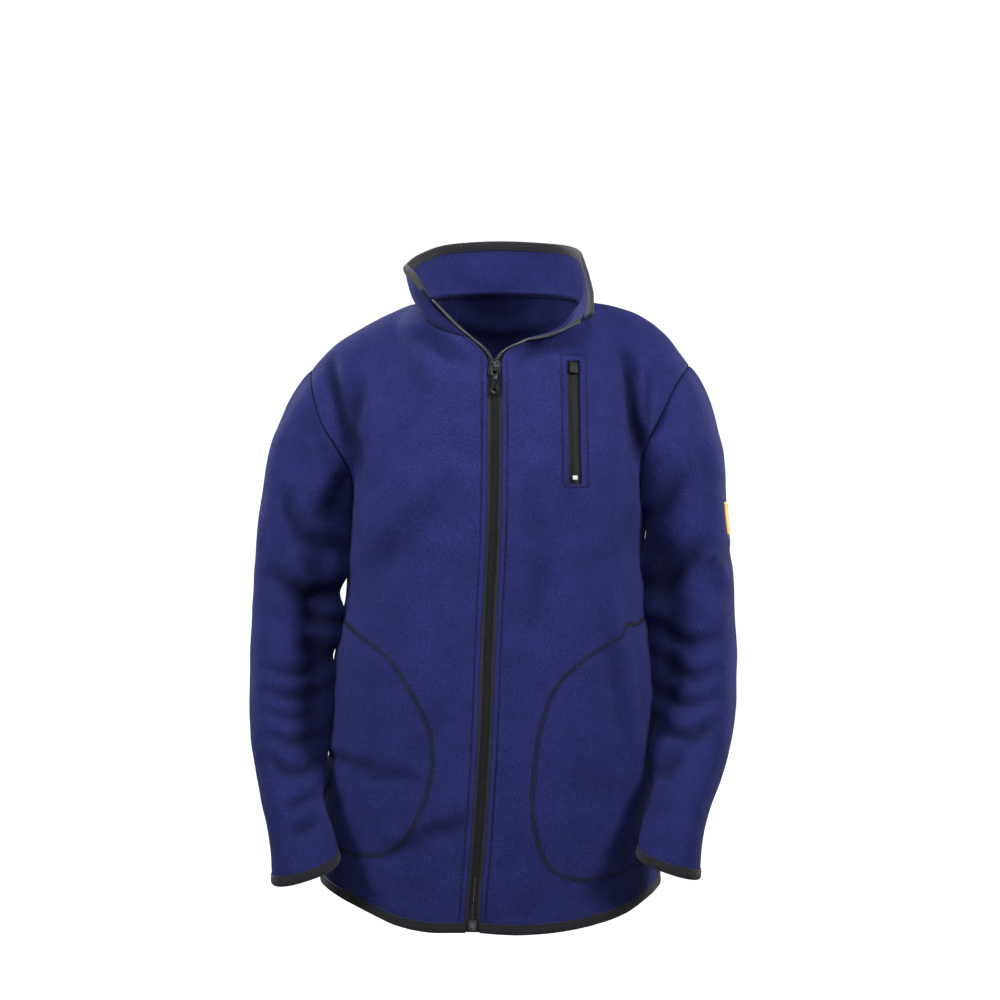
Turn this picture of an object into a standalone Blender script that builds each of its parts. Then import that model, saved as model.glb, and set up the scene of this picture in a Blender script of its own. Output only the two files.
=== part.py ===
"""Fleece zip jacket, worn: fronts, back, sleeves, open stand collar, pocket bags and zips.

Metres, +Z up. The wearer faces -Y, so their left side is at +X. The origin is inside the
base of the neck, at the height where the shoulder seams reach the collar. Every cloth
piece is a wall of even thickness on a grid of rows and columns. Neighbouring pieces share
the rows or columns of their seam, and then each stands back by half the seam gap.
"""
from collections import namedtuple
import math

import bmesh
import bpy
from mathutils import Matrix, Vector
from mathutils.bvhtree import BVHTree
import numpy as np

# ---------------------------------------------------------------- driving dimensions
CLOTH = 0.0022            # fleece wall
SEAM_GAP = 0.0003         # clear width of every seam
LAY_GAP = 0.0004          # clear height under a piece that lies on another
BINDING_WIDTH = 0.0080    # stretch binding, seen height
BINDING_CLOTH = 0.0010    # wall of the folded binding
BINDING_GAP = 0.0006      # clear height between the binding and the cloth it folds over
BINDING_BEYOND = 0.0012   # clear width between the cloth's edge and the binding's fold
BINDING_ROW = 0.0105      # first row of a bound edge, so the binding lies on flat facets
TAPE_CLOTH = 0.0008       # woven zip tape
TAPE_UNDER = 0.0040       # how far a tape reaches behind the front's edge
HALF_CHANNEL = 0.0068     # front's edge to the middle of the closed zip
CHAIN_HALF = 0.0031       # half the width of the closed chain
CHAIN_THICK = 0.0026
SLIDER_Z = -0.0690        # middle of the main slider
SLIDER_LONG = 0.0150
SLIDER_WIDE = 0.0108
SLIDER_PLATE = 0.0012
PULL_LONG = 0.0290
PULL_WIDE = 0.0078
PULL_THICK = 0.0014

FRONT_COLS = 13           # columns of a front, from the zip to the side seam
NECK_COLS = 6             # of these, the columns that end at the neckline
BACK_HALF_COLS = 13
BACK_NECK_COLS = 6
UPPER_ROWS = 12           # rows above the underarm
LOWER_ROWS = 16           # rows from the hem to the underarm
CAP_ROWS = 6              # rows of a sleeve above the upper-arm ring
ARM_ROWS = 14             # rows from there to the cuff
COLLAR_ROWS = 6
UNDERARM_Z = -0.205
RING_Z = -0.236           # first full ring of a sleeve
TOP_CROWDING = 1.35       # above 1, the upper rows crowd towards the shoulder

NAVY = (0.022, 0.026, 0.135)
NAVY_INSIDE = (0.028, 0.032, 0.150)
BLACK_CLOTH = (0.020, 0.020, 0.024)
BLACK_PLASTIC = (0.012, 0.012, 0.013)
WHITE_PLASTIC = (0.80, 0.80, 0.78)
YELLOW = (0.86, 0.58, 0.08)

# ---------------------------------------------------------------- sizes of the body
# One row for each height: the middle in X, half the width, the depth in front of and
# behind the side seams, and how square the section is (2 is an ellipse).
Section = namedtuple("Section", "z middle half front back square")
BODY = (
    Section(-0.620, -0.0060, 0.1685, 0.1250, 0.1170, 2.20),
    Section(-0.540, -0.0070, 0.1690, 0.1255, 0.1190, 2.15),
    Section(-0.460, -0.0065, 0.1655, 0.1265, 0.1150, 2.20),
    Section(-0.400, -0.0035, 0.1600, 0.1270, 0.1080, 2.30),
    Section(-0.345, -0.0030, 0.1530, 0.1270, 0.1010, 2.40),
    Section(-0.290, -0.0010, 0.1445, 0.1270, 0.0980, 2.40),
    Section(-0.240, -0.0010, 0.1425, 0.1275, 0.0990, 2.40),
    Section(-0.180, -0.0000, 0.1460, 0.1285, 0.1040, 2.40),
)

# The hem's height at each turn from the middle of the front, in degrees.
HEM_RIGHT = (
    (0, -0.6055), (20, -0.6045), (33, -0.5985), (41, -0.5920), (54, -0.5830), (90, -0.5720),
    (130, -0.5810), (180, -0.5900),
)
HEM_LEFT = (
    (0, -0.6055), (12, -0.6080), (24, -0.6070), (41, -0.6010), (52, -0.5950), (72, -0.5790),
    (90, -0.5730), (130, -0.5810), (180, -0.5900),
)

# The middle of the closed zip at each height.
ZIP_LINE = (
    (-0.620, -0.0238), (-0.5815, -0.0226), (-0.534, -0.0187), (-0.486, -0.0153),
    (-0.4385, -0.0123), (-0.391, -0.0103), (-0.343, -0.0087), (-0.295, -0.0066),
    (-0.2475, -0.0042), (-0.200, -0.0026), (-0.150, -0.0021), (-0.060, -0.0020),
)

# Where each front's edge opens above the slider: height and X.
Opening = namedtuple("Opening", "z x y")
OPEN_RIGHT = (
    Opening(-0.0735, -0.0088, -0.1150), Opening(-0.0640, -0.0084, -0.1130),
    Opening(-0.0545, -0.0122, -0.1105), Opening(-0.0455, -0.0208, -0.1070),
    Opening(-0.0380, -0.0300, -0.1030),
)
OPEN_LEFT = (
    Opening(-0.0735, 0.0048, -0.1150), Opening(-0.0640, 0.0044, -0.1130),
    Opening(-0.0555, 0.0075, -0.1110), Opening(-0.0485, 0.0155, -0.1080),
    Opening(-0.0427, 0.0346, -0.1030),
)

# The neckline from each front's corner to the neck point of the shoulder seam.
NECK_RIGHT = (
    (-0.0300, -0.1030, -0.0380), (-0.0490, -0.0940, -0.0330), (-0.0635, -0.0800, -0.0255),
    (-0.0720, -0.0620, -0.0146), (-0.0775, -0.0400, -0.0060), (-0.0805, -0.0060, 0.0020),
)
NECK_LEFT = (
    (0.0346, -0.1030, -0.0427), (0.0520, -0.0940, -0.0370), (0.0670, -0.0800, -0.0280),
    (0.0765, -0.0620, -0.0160), (0.0830, -0.0400, -0.0060), (0.0865, -0.0060, 0.0030),
)
NECK_BACK = (
    (-0.0805, -0.0060, 0.0020), (-0.0740, 0.0280, 0.0095), (-0.0460, 0.0610, 0.0150),
    (0.0030, 0.0745, 0.0170), (0.0520, 0.0610, 0.0155), (0.0800, 0.0280, 0.0100),
    (0.0865, -0.0060, 0.0030),
)

# The shoulder seams, from the neck point to the tip.
SHOULDER_RIGHT = (
    (-0.0805, -0.0060, 0.0020), (-0.0950, -0.0040, -0.0030), (-0.1210, 0.0000, -0.0140),
    (-0.1470, 0.0030, -0.0280), (-0.1640, 0.0040, -0.0395), (-0.1760, 0.0045, -0.0510),
    (-0.1870, 0.0045, -0.0640),
)
SHOULDER_LEFT = (
    (0.0865, -0.0060, 0.0030), (0.1080, -0.0030, 0.0010), (0.1350, 0.0010, -0.0055),
    (0.1530, 0.0030, -0.0145), (0.1670, 0.0040, -0.0260), (0.1800, 0.0045, -0.0420),
    (0.1935, 0.0045, -0.0600),
)

# The armholes, from the underarm up to the shoulder tip, in front and behind.
ARMHOLE_RIGHT_FRONT = (
    (-0.1440, 0.0000, -0.2050), (-0.1425, -0.0310, -0.1935), (-0.1440, -0.0520, -0.1690),
    (-0.1570, -0.0610, -0.1440), (-0.1705, -0.0550, -0.1235), (-0.1800, -0.0400, -0.0990),
    (-0.1850, -0.0200, -0.0790), (-0.1870, 0.0045, -0.0640),
)
ARMHOLE_LEFT_FRONT = (
    (0.1440, 0.0000, -0.2050), (0.1420, -0.0310, -0.1915), (0.1415, -0.0535, -0.1630),
    (0.1490, -0.0620, -0.1340), (0.1610, -0.0570, -0.1120), (0.1740, -0.0420, -0.0870),
    (0.1860, -0.0200, -0.0690), (0.1935, 0.0045, -0.0600),
)
ARMHOLE_RIGHT_BACK = (
    (-0.1440, 0.0000, -0.2050), (-0.1440, 0.0310, -0.1950), (-0.1480, 0.0550, -0.1700),
    (-0.1590, 0.0640, -0.1400), (-0.1700, 0.0600, -0.1140), (-0.1800, 0.0440, -0.0880),
    (-0.1850, 0.0230, -0.0720), (-0.1870, 0.0045, -0.0640),
)
ARMHOLE_LEFT_BACK = (
    (0.1440, 0.0000, -0.2050), (0.1436, 0.0320, -0.1955), (0.1480, 0.0550, -0.1700),
    (0.1600, 0.0640, -0.1370), (0.1720, 0.0600, -0.1110), (0.1830, 0.0440, -0.0850),
    (0.1900, 0.0230, -0.0680), (0.1935, 0.0045, -0.0600),
)

# ---------------------------------------------------------------- sizes of the sleeves
# One row for each ring: its middle, half its width across the body and half its depth,
# how far its outer side drops and how far its front drops, in degrees.
Ring = namedtuple("Ring", "z x y half_wide half_deep drop_out drop_front")
ARM_RIGHT = (
    Ring(-0.236, -0.1960, 0.004, 0.0455, 0.0560, 6, 0),
    Ring(-0.280, -0.1985, 0.006, 0.0450, 0.0545, 4, 2),
    Ring(-0.320, -0.2035, 0.006, 0.0425, 0.0530, 2, 4),
    Ring(-0.360, -0.2060, -0.002, 0.0405, 0.0510, 0, 0),
    Ring(-0.400, -0.2080, -0.014, 0.0380, 0.0480, 0, -5),
    Ring(-0.455, -0.2060, -0.043, 0.0320, 0.0425, 2, -8),
    Ring(-0.495, -0.1968, -0.070, 0.0300, 0.0385, 8, -8),
    Ring(-0.525, -0.1875, -0.088, 0.0315, 0.0365, 14, 0),
    Ring(-0.5505, -0.1830, -0.100, 0.0335, 0.0350, 17, 8),
)
ARM_LEFT = (
    Ring(-0.236, 0.1910, 0.004, 0.0420, 0.0550, 6, 0),
    Ring(-0.280, 0.1935, 0.006, 0.0435, 0.0545, 4, 2),
    Ring(-0.320, 0.1965, 0.006, 0.0420, 0.0530, 2, 4),
    Ring(-0.360, 0.1985, -0.003, 0.0405, 0.0510, 0, 0),
    Ring(-0.400, 0.1995, -0.019, 0.0380, 0.0480, 0, -6),
    Ring(-0.455, 0.1915, -0.054, 0.0312, 0.0420, 2, -8),
    Ring(-0.490, 0.1780, -0.080, 0.0292, 0.0380, 8, -8),
    Ring(-0.520, 0.1680, -0.096, 0.0305, 0.0360, 14, 0),
    Ring(-0.5455, 0.1640, -0.105, 0.0315, 0.0345, 18, 3),
)
SLEEVE_SQUARE = 2.25
CAP_OUT = 0.54            # how a sleeve leaves its armhole: outward,
CAP_DOWN = 0.78           # downward,
CAP_SWELL = 0.12          # and away from the armhole's middle
UNDERARM_OUT = 0.95       # outward at the underarm

# ---------------------------------------------------------------- sizes of the collar
# Stations along the neckline from the right front corner to the left: the place of the
# top edge, and how far the wall swells from the straight line between its two edges.
Station = namedtuple("Station", "share x y z swell_x swell_y swell_z")
COLLAR = (
    Station(0.000, -0.0725, -0.0980, 0.0050, -0.0020, 0.0030, -0.0020),
    Station(0.090, -0.0795, -0.0790, 0.0215, -0.0040, 0.0010, -0.0030),
    Station(0.170, -0.0880, -0.0530, 0.0325, -0.0030, -0.0010, -0.0020),
    Station(0.250, -0.0915, -0.0220, 0.0360, -0.0010, 0.0000, 0.0020),
    Station(0.330, -0.0810, 0.0240, 0.0500, 0.0000, 0.0010, 0.0010),
    Station(0.420, -0.0500, 0.0650, 0.0650, 0.0000, 0.0030, 0.0000),
    Station(0.500, 0.0030, 0.0820, 0.0700, 0.0000, 0.0040, 0.0000),
    Station(0.580, 0.0540, 0.0660, 0.0660, 0.0000, 0.0030, 0.0000),
    Station(0.670, 0.0790, 0.0260, 0.0580, 0.0000, 0.0010, 0.0010),
    Station(0.750, 0.0845, -0.0150, 0.0470, 0.0020, 0.0000, 0.0020),
    Station(0.840, 0.0910, -0.0500, 0.0220, 0.0040, -0.0020, 0.0010),
    Station(0.930, 0.0935, -0.0800, -0.0020, 0.0030, -0.0020, -0.0020),
    Station(1.000, 0.0915, -0.1020, -0.0185, 0.0000, -0.0030, -0.0040),
)

# ---------------------------------------------------------------- largest folds
# A fold runs from its start to its end. Its rise is its height outward, so a trough has a
# negative one, and its spread is how far the slope reaches to each side.
Fold = namedtuple("Fold", "start end spread rise")
BODY_FOLDS = (
    Fold((-0.060, -0.125, -0.235), (-0.128, -0.085, -0.270), 0.016, -0.0028),
    Fold((-0.060, -0.125, -0.212), (-0.132, -0.075, -0.245), 0.016, 0.0024),
    Fold((-0.030, -0.110, -0.075), (-0.068, -0.085, -0.035), 0.014, -0.0030),
    Fold((-0.045, -0.110, -0.085), (-0.085, -0.080, -0.050), 0.014, 0.0022),
    Fold((-0.160, -0.050, -0.450), (-0.080, -0.120, -0.462), 0.013, -0.0030),
    Fold((-0.160, -0.050, -0.432), (-0.090, -0.118, -0.440), 0.014, 0.0024),
    Fold((-0.036, -0.125, -0.514), (-0.105, -0.105, -0.540), 0.014, -0.0024),
    Fold((-0.140, -0.058, -0.080), (-0.141, -0.070, -0.165), 0.014, -0.0040),
    Fold((-0.120, -0.080, -0.085), (-0.124, -0.090, -0.180), 0.015, 0.0022),
    Fold((0.1330, -0.070, -0.085), (0.1340, -0.070, -0.165), 0.013, -0.0040),
    Fold((0.1160, -0.090, -0.085), (0.1140, -0.095, -0.180), 0.015, 0.0020),
    Fold((0.1120, -0.105, -0.285), (0.1360, -0.085, -0.405), 0.010, 0.0022),
    Fold((0.1020, -0.112, -0.290), (0.1240, -0.098, -0.400), 0.011, -0.0016),
    Fold((0.0350, -0.105, -0.058), (0.0560, -0.095, -0.050), 0.012, -0.0024),
    Fold((-0.120, 0.080, -0.190), (-0.060, 0.100, -0.300), 0.020, 0.0026),
    Fold((0.1200, 0.080, -0.190), (0.0600, 0.100, -0.300), 0.020, 0.0026),
    Fold((-0.070, 0.100, -0.330), (0.0600, 0.100, -0.335), 0.022, -0.0030),
    Fold((-0.080, 0.105, -0.370), (0.0300, 0.105, -0.385), 0.020, 0.0024),
    Fold((-0.135, 0.060, -0.090), (-0.138, 0.065, -0.180), 0.016, -0.0030),
    Fold((0.1380, 0.060, -0.090), (0.1400, 0.065, -0.180), 0.016, -0.0030),
    Fold((0.0500, 0.110, -0.480), (0.0650, 0.112, -0.590), 0.024, 0.0030),
    Fold((-0.050, 0.110, -0.470), (-0.075, 0.112, -0.590), 0.024, 0.0030),
)
SLEEVE_FOLDS = (
    Fold((-0.232, -0.030, -0.228), (-0.214, -0.045, -0.275), 0.013, -0.0026),
    Fold((-0.195, -0.050, -0.238), (-0.160, -0.040, -0.262), 0.013, -0.0030),
    Fold((-0.230, -0.035, -0.268), (-0.170, -0.045, -0.290), 0.012, 0.0026),
    Fold((-0.232, -0.035, -0.305), (-0.165, -0.045, -0.312), 0.012, -0.0026),
    Fold((-0.235, -0.030, -0.336), (-0.170, -0.045, -0.334), 0.012, 0.0026),
    Fold((-0.235, -0.030, -0.362), (-0.175, -0.045, -0.358), 0.012, -0.0026),
    Fold((-0.238, -0.020, -0.388), (-0.180, -0.050, -0.384), 0.012, 0.0022),
    Fold((-0.232, -0.045, -0.445), (-0.190, -0.070, -0.462), 0.011, -0.0024),
    Fold((-0.200, -0.090, -0.500), (-0.175, -0.095, -0.512), 0.010, -0.0018),
    Fold((-0.225, 0.045, -0.290), (-0.170, 0.045, -0.300), 0.015, -0.0030),
    Fold((-0.230, 0.045, -0.330), (-0.170, 0.045, -0.345), 0.015, 0.0030),
    Fold((0.2300, -0.035, -0.255), (0.1650, -0.045, -0.280), 0.012, 0.0028),
    Fold((0.2300, -0.035, -0.278), (0.1680, -0.045, -0.302), 0.012, -0.0026),
    Fold((0.2300, -0.030, -0.335), (0.1700, -0.045, -0.330), 0.012, -0.0026),
    Fold((0.2300, -0.030, -0.312), (0.1700, -0.045, -0.312), 0.012, 0.0024),
    Fold((0.2320, -0.025, -0.376), (0.1750, -0.045, -0.362), 0.012, -0.0026),
    Fold((0.2320, -0.025, -0.355), (0.1750, -0.045, -0.346), 0.012, 0.0022),
    Fold((0.2250, -0.050, -0.430), (0.1700, -0.070, -0.436), 0.012, -0.0024),
    Fold((0.2200, -0.060, -0.462), (0.1700, -0.085, -0.466), 0.011, 0.0020),
    Fold((0.2250, 0.045, -0.290), (0.1700, 0.045, -0.300), 0.015, -0.0030),
    Fold((0.2300, 0.045, -0.330), (0.1700, 0.045, -0.345), 0.015, 0.0030),
)

# ---------------------------------------------------------------- pockets and label
# The inner edge of each hand-pocket bag: height and X.
POCKET_RIGHT = (
    (-0.330, -0.142), (-0.352, -0.100), (-0.375, -0.078), (-0.410, -0.066), (-0.440, -0.061),
    (-0.475, -0.066), (-0.500, -0.078), (-0.520, -0.097), (-0.532, -0.125),
)
POCKET_LEFT = (
    (-0.328, 0.125), (-0.345, 0.090), (-0.365, 0.068), (-0.400, 0.045), (-0.440, 0.034),
    (-0.480, 0.033), (-0.515, 0.038), (-0.540, 0.055), (-0.553, 0.085),
)
BAG_CLOTH = 0.0012
BAG_COLS = 5

CHEST_MOUTH_X = 0.0748
CHEST_MOUTH_Z = (-0.1800, -0.0605)
CHEST_MOUTH_LEAN = 0.0015
CHEST_MOUTH_WIDE = 0.0125
CHEST_TAPE_HALF = 0.0098
COIL_HALF = 0.0028
COIL_THICK = 0.0011
CHEST_SLIDER = (0.0088, 0.0030, 0.0115)
CHEST_STOP = (0.0050, 0.0014, 0.0042)

LABEL_Z = (-0.2300, -0.1965)
LABEL_HALF = 0.0110
LABEL_MIDDLE_Y = -0.0130
LABEL_THICK = 0.0006


# ---------------------------------------------------------------- curves
def spline(knots, values, places):
    """Values of a smooth curve through a table, at the places asked for."""
    knots = np.asarray(knots, float)
    values = np.asarray(values, float)
    flat = values.ndim == 1
    if flat:
        values = values[:, None]
    steps = np.diff(knots)
    secants = np.diff(values, axis=0) / steps[:, None]
    slopes = np.empty_like(values)
    slopes[0] = secants[0]
    slopes[-1] = secants[-1]
    before = steps[:-1, None]
    after = steps[1:, None]
    slopes[1:-1] = (secants[:-1] * after + secants[1:] * before) / (before + after)
    places = np.clip(np.asarray(places, float), knots[0], knots[-1])
    low = np.clip(np.searchsorted(knots, places, side="right") - 1, 0, len(knots) - 2)
    width = steps[low][:, None]
    t = ((places - knots[low]) / steps[low])[:, None]
    result = hermite(values[low], slopes[low] * width, values[low + 1], slopes[low + 1] * width, t)
    return result[:, 0] if flat else result


def hermite(start, leave, end, arrive, t):
    """A cubic from start to end, with its directions at both."""
    square = t * t
    cube = square * t
    return ((2 * cube - 3 * square + 1) * start + (cube - 2 * square + t) * leave
            + (3 * square - 2 * cube) * end + (cube - square) * arrive)


def through(points, shares):
    """Points of a smooth curve through the given ones, at shares of its length."""
    points = np.asarray(points, float)
    along = np.concatenate([[0.0], np.cumsum(np.linalg.norm(np.diff(points, axis=0), axis=1))])
    return spline(along, points, np.asarray(shares) * along[-1])


def unit(vectors):
    vectors = np.asarray(vectors, float)
    return vectors / np.maximum(np.linalg.norm(vectors, axis=-1, keepdims=True), 1e-12)


# ---------------------------------------------------------------- the body's surface
def section_at(z):
    """The body section's sizes at a height, as a Section."""
    heights = [row.z for row in BODY]
    sizes = [row[1:] for row in BODY]
    return Section(z, *spline(heights, sizes, [z])[0])


def quarter(section, side, face, shares):
    """Points of a quarter of a section, from its middle front or back to the side seam."""
    samples = 160
    angle = np.linspace(0.0, math.pi / 2, samples)
    power = 2.0 / section.square
    depth = section.front if face < 0 else section.back
    x = section.half * np.sin(angle) ** power
    y = face * depth * np.cos(angle) ** power
    along = np.concatenate([[0.0], np.cumsum(np.hypot(np.diff(x), np.diff(y)))])
    wanted = np.asarray(shares) * along[-1]
    return np.column_stack([
        section.middle + side * np.interp(wanted, along, x),
        np.interp(wanted, along, y),
        np.full(len(wanted), section.z),
    ])


def hem_height(side_share, side, face):
    """The hem's height at a share of a quarter from its middle to the side seam."""
    hem = HEM_RIGHT if side < 0 else HEM_LEFT
    turn = side_share * 90.0 if face < 0 else 180.0 - side_share * 90.0
    return spline([row[0] for row in hem], [row[1] for row in hem], [turn])[0]


def lower_shares(height):
    """Shares of the height of each lower row: the bound row first, then even ones."""
    first = BINDING_ROW / height
    return np.concatenate([[0.0], np.linspace(first, 1.0, LOWER_ROWS)])


def body_quarter(side, face, columns, top, arrive, armhole):
    """Rows of one quarter of the body, from its hem up to its neckline and shoulder."""
    shares = np.linspace(0.0, 1.0, columns + 1)
    rows_up = np.linspace(0.0, 1.0, UPPER_ROWS + 1)
    rise = 1.0 - (1.0 - rows_up) ** TOP_CROWDING
    grid = np.zeros((LOWER_ROWS + UPPER_ROWS + 1, columns + 1, 3))
    for column, share in enumerate(shares):
        bottom = hem_height(share, side, face)
        for row, level in enumerate(lower_shares(UNDERARM_Z - bottom)):
            section = section_at(bottom + level * (UNDERARM_Z - bottom))
            grid[row, column] = quarter(section, side, face, [share])[0]
    under = quarter(section_at(UNDERARM_Z), side, face, shares)
    above = quarter(section_at(UNDERARM_Z + 0.010), side, face, shares)
    leave = unit(above - under)
    for column in range(columns + 1):
        chord = np.linalg.norm(top[column] - under[column])
        grid[LOWER_ROWS:, column] = hermite(
            under[column], leave[column] * chord * 0.95,
            top[column], arrive[column] * chord, rise[:, None])
    edge = through(armhole, rise)
    for row, target in enumerate(edge):
        line = grid[LOWER_ROWS + row]
        grid[LOWER_ROWS + row] = shortened(line, target)
    shift = edge - grid[LOWER_ROWS:, -1]
    weight = np.clip((shares - 0.45) / 0.55, 0.0, 1.0) ** 2
    grid[LOWER_ROWS:] += weight[None, :, None] * shift[:, None, :]
    return grid


def shortened(line, target):
    """A row of points squeezed to end where the row passes nearest to a target."""
    index = np.linspace(0.0, len(line) - 1.0, 40 * (len(line) - 1) + 1)
    fine = spline(np.arange(len(line)), line, index)
    tail = index > 0.45 * (len(line) - 1)
    away = np.linalg.norm(fine - target, axis=1) + np.where(tail, 0.0, 1.0)
    share = index[np.argmin(away)] / (len(line) - 1)
    return spline(np.arange(len(line)), line, np.arange(len(line)) * share)


def arrivals(side, neck_count, shoulder_count, face):
    """Directions in which the body's columns reach the neckline and the shoulder seam."""
    rows = []
    for index in range(neck_count + shoulder_count + 1):
        share = min(1.0, index / neck_count)
        along = max(0.0, (index - neck_count) / shoulder_count)
        inward = 0.50 * share * (1.0 - along) ** 2
        back_over = 0.42 + 0.18 * share
        rise = 0.75 * (1.0 - share) ** 1.2 + 0.10
        rows.append((-side * inward, -face * back_over, rise))
    return np.array(rows)


def top_line(neck, shoulder, neck_cols, shoulder_cols):
    """The neckline and the shoulder seam as one row of points."""
    collar_part = through(neck, np.linspace(0.0, 1.0, neck_cols + 1))
    shoulder_part = through(shoulder, np.linspace(0.0, 1.0, shoulder_cols + 1))
    return np.vstack([collar_part, shoulder_part[1:]])


def zip_middle(z):
    return spline([row[0] for row in ZIP_LINE], [row[1] for row in ZIP_LINE], [z])[0]


def front_grid(side):
    """One front, from the zip's channel to the side seam."""
    if side < 0:
        neck, shoulder, armhole, opening = NECK_RIGHT, SHOULDER_RIGHT, ARMHOLE_RIGHT_FRONT, OPEN_RIGHT
    else:
        neck, shoulder, armhole, opening = NECK_LEFT, SHOULDER_LEFT, ARMHOLE_LEFT_FRONT, OPEN_LEFT
    shoulder_cols = FRONT_COLS - NECK_COLS
    top = top_line(neck, shoulder, NECK_COLS, shoulder_cols)
    grid = body_quarter(side, -1, FRONT_COLS, top, arrivals(side, NECK_COLS, shoulder_cols, -1), armhole)
    grid = grid.copy()
    edge = grid[:, 0].copy()
    for row, point in enumerate(edge):
        if point[2] < opening[0].z:
            point[0] = zip_middle(point[2]) + side * HALF_CHANNEL
        else:
            heights = [stop.z for stop in opening]
            point[0], point[1] = spline(heights, [(stop.x, stop.y) for stop in opening], [point[2]])[0]
    shift = edge - grid[:, 0]
    shares = np.linspace(0.0, 1.0, FRONT_COLS + 1)
    weight = np.clip(1.0 - shares / 0.85, 0.0, 1.0) ** 1.5
    grid[:LOWER_ROWS] += weight[None, :, None] * shift[:LOWER_ROWS, None, :]
    weight_top = np.clip(1.0 - shares / 0.5, 0.0, 1.0) ** 2
    upper = np.linspace(0.0, 1.0, UPPER_ROWS + 1)[:, None]
    mixed = weight[None, :] * (1.0 - upper) + weight_top[None, :] * upper
    grid[LOWER_ROWS:] += mixed[:, :, None] * shift[LOWER_ROWS:, None, :]
    return grid


def back_grid():
    """The back, from the right side seam to the left one."""
    shoulder_cols = BACK_HALF_COLS - BACK_NECK_COLS
    neck = through(NECK_BACK, np.linspace(0.0, 1.0, 2 * BACK_NECK_COLS + 1))
    halves = []
    for side in (-1, 1):
        if side < 0:
            neck_part, shoulder, armhole = neck[BACK_NECK_COLS::-1], SHOULDER_RIGHT, ARMHOLE_RIGHT_BACK
        else:
            neck_part, shoulder, armhole = neck[BACK_NECK_COLS:], SHOULDER_LEFT, ARMHOLE_LEFT_BACK
        seam = through(shoulder, np.linspace(0.0, 1.0, shoulder_cols + 1))
        top = np.vstack([neck_part, seam[1:]])
        halves.append(body_quarter(side, 1, BACK_HALF_COLS, top,
                                   arrivals(side, BACK_NECK_COLS, shoulder_cols, 1), armhole))
    right, left = halves
    return np.concatenate([right[:, ::-1], left[:, 1:]], axis=1)


# ---------------------------------------------------------------- the sleeves' surface
def arm_ring(rings, z, side, count):
    """Points of a sleeve's ring: from its inner side by its front, outer side and back."""
    heights = [-row.z for row in rings]
    x, y, wide, deep, drop_out, drop_front = spline(heights, [row[1:] for row in rings], [-z])[0]
    out = np.array([side * math.cos(math.radians(drop_out)), 0.0, -math.sin(math.radians(drop_out))])
    front = np.array([0.0, -math.cos(math.radians(drop_front)), -math.sin(math.radians(drop_front))])
    angle = np.linspace(0.0, 2 * math.pi, 721)
    power = 2.0 / SLEEVE_SQUARE
    across = -np.sign(np.cos(angle)) * wide * np.abs(np.cos(angle)) ** power
    forward = np.sign(np.sin(angle)) * deep * np.abs(np.sin(angle)) ** power
    along = np.concatenate([[0.0], np.cumsum(np.hypot(np.diff(across), np.diff(forward)))])
    wanted = np.linspace(0.0, along[-1], count + 1)
    across = np.interp(wanted, along, across)
    forward = np.interp(wanted, along, forward)
    return np.array([x, y, z]) + across[:, None] * out + forward[:, None] * front


def sleeve_grid(side, front_edge, back_edge):
    """One sleeve, from its armhole to its cuff; the last column repeats the first."""
    rings = ARM_RIGHT if side < 0 else ARM_LEFT
    armhole = np.vstack([front_edge, back_edge[-2::-1]])
    count = len(armhole) - 1
    first = arm_ring(rings, RING_Z, side, count)
    second = arm_ring(rings, RING_Z - 0.012, side, count)
    middle = armhole[:-1].mean(axis=0)
    turn = np.linspace(0.0, 2 * math.pi, count + 1)
    under = np.clip(np.cos(turn), 0.0, 1.0) ** 1.5
    away = unit(armhole - middle)
    outward = CAP_OUT + (UNDERARM_OUT - CAP_OUT) * under
    downward = CAP_DOWN * (1.0 - 0.75 * under)
    leave = unit(np.column_stack([side * outward, np.zeros(count + 1), -downward])
                 + CAP_SWELL * away * (1.0 - under)[:, None])
    arrive = unit(second - first)
    chord = np.linalg.norm(first - armhole, axis=1)[:, None]
    cap = [hermite(armhole, leave * chord * 0.9, first, arrive * chord * 0.9, step)
           for step in np.linspace(0.0, 1.0, CAP_ROWS + 1)]
    cuff_z = rings[-1].z
    levels = np.linspace(RING_Z, cuff_z + BINDING_ROW, ARM_ROWS)[1:]
    arm = [arm_ring(rings, z, side, count) for z in levels]
    arm.append(arm_ring(rings, cuff_z, side, count))
    grid = np.array(cap + arm)
    grid[:, -1] = grid[:, 0]
    return grid


def collar_grid(neckline):
    """The stand collar: columns along the neckline, rows from the seam to the top."""
    along = np.concatenate([[0.0], np.cumsum(np.linalg.norm(np.diff(neckline, axis=0), axis=1))])
    shares = along / along[-1]
    stations = [row.share for row in COLLAR]
    placed = spline(stations, [row[1:] for row in COLLAR], shares)
    top, swell = placed[:, :3], placed[:, 3:]
    height = np.linalg.norm(top - neckline, axis=1)
    last = 1.0 - BINDING_ROW / height
    rows = []
    for row in range(COLLAR_ROWS + 1):
        step = last * row / (COLLAR_ROWS - 1) if row < COLLAR_ROWS else np.ones_like(last)
        step = step[:, None]
        rows.append(neckline + (top - neckline) * step + swell * 4.0 * step * (1.0 - step))
    return np.array(rows)


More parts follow.
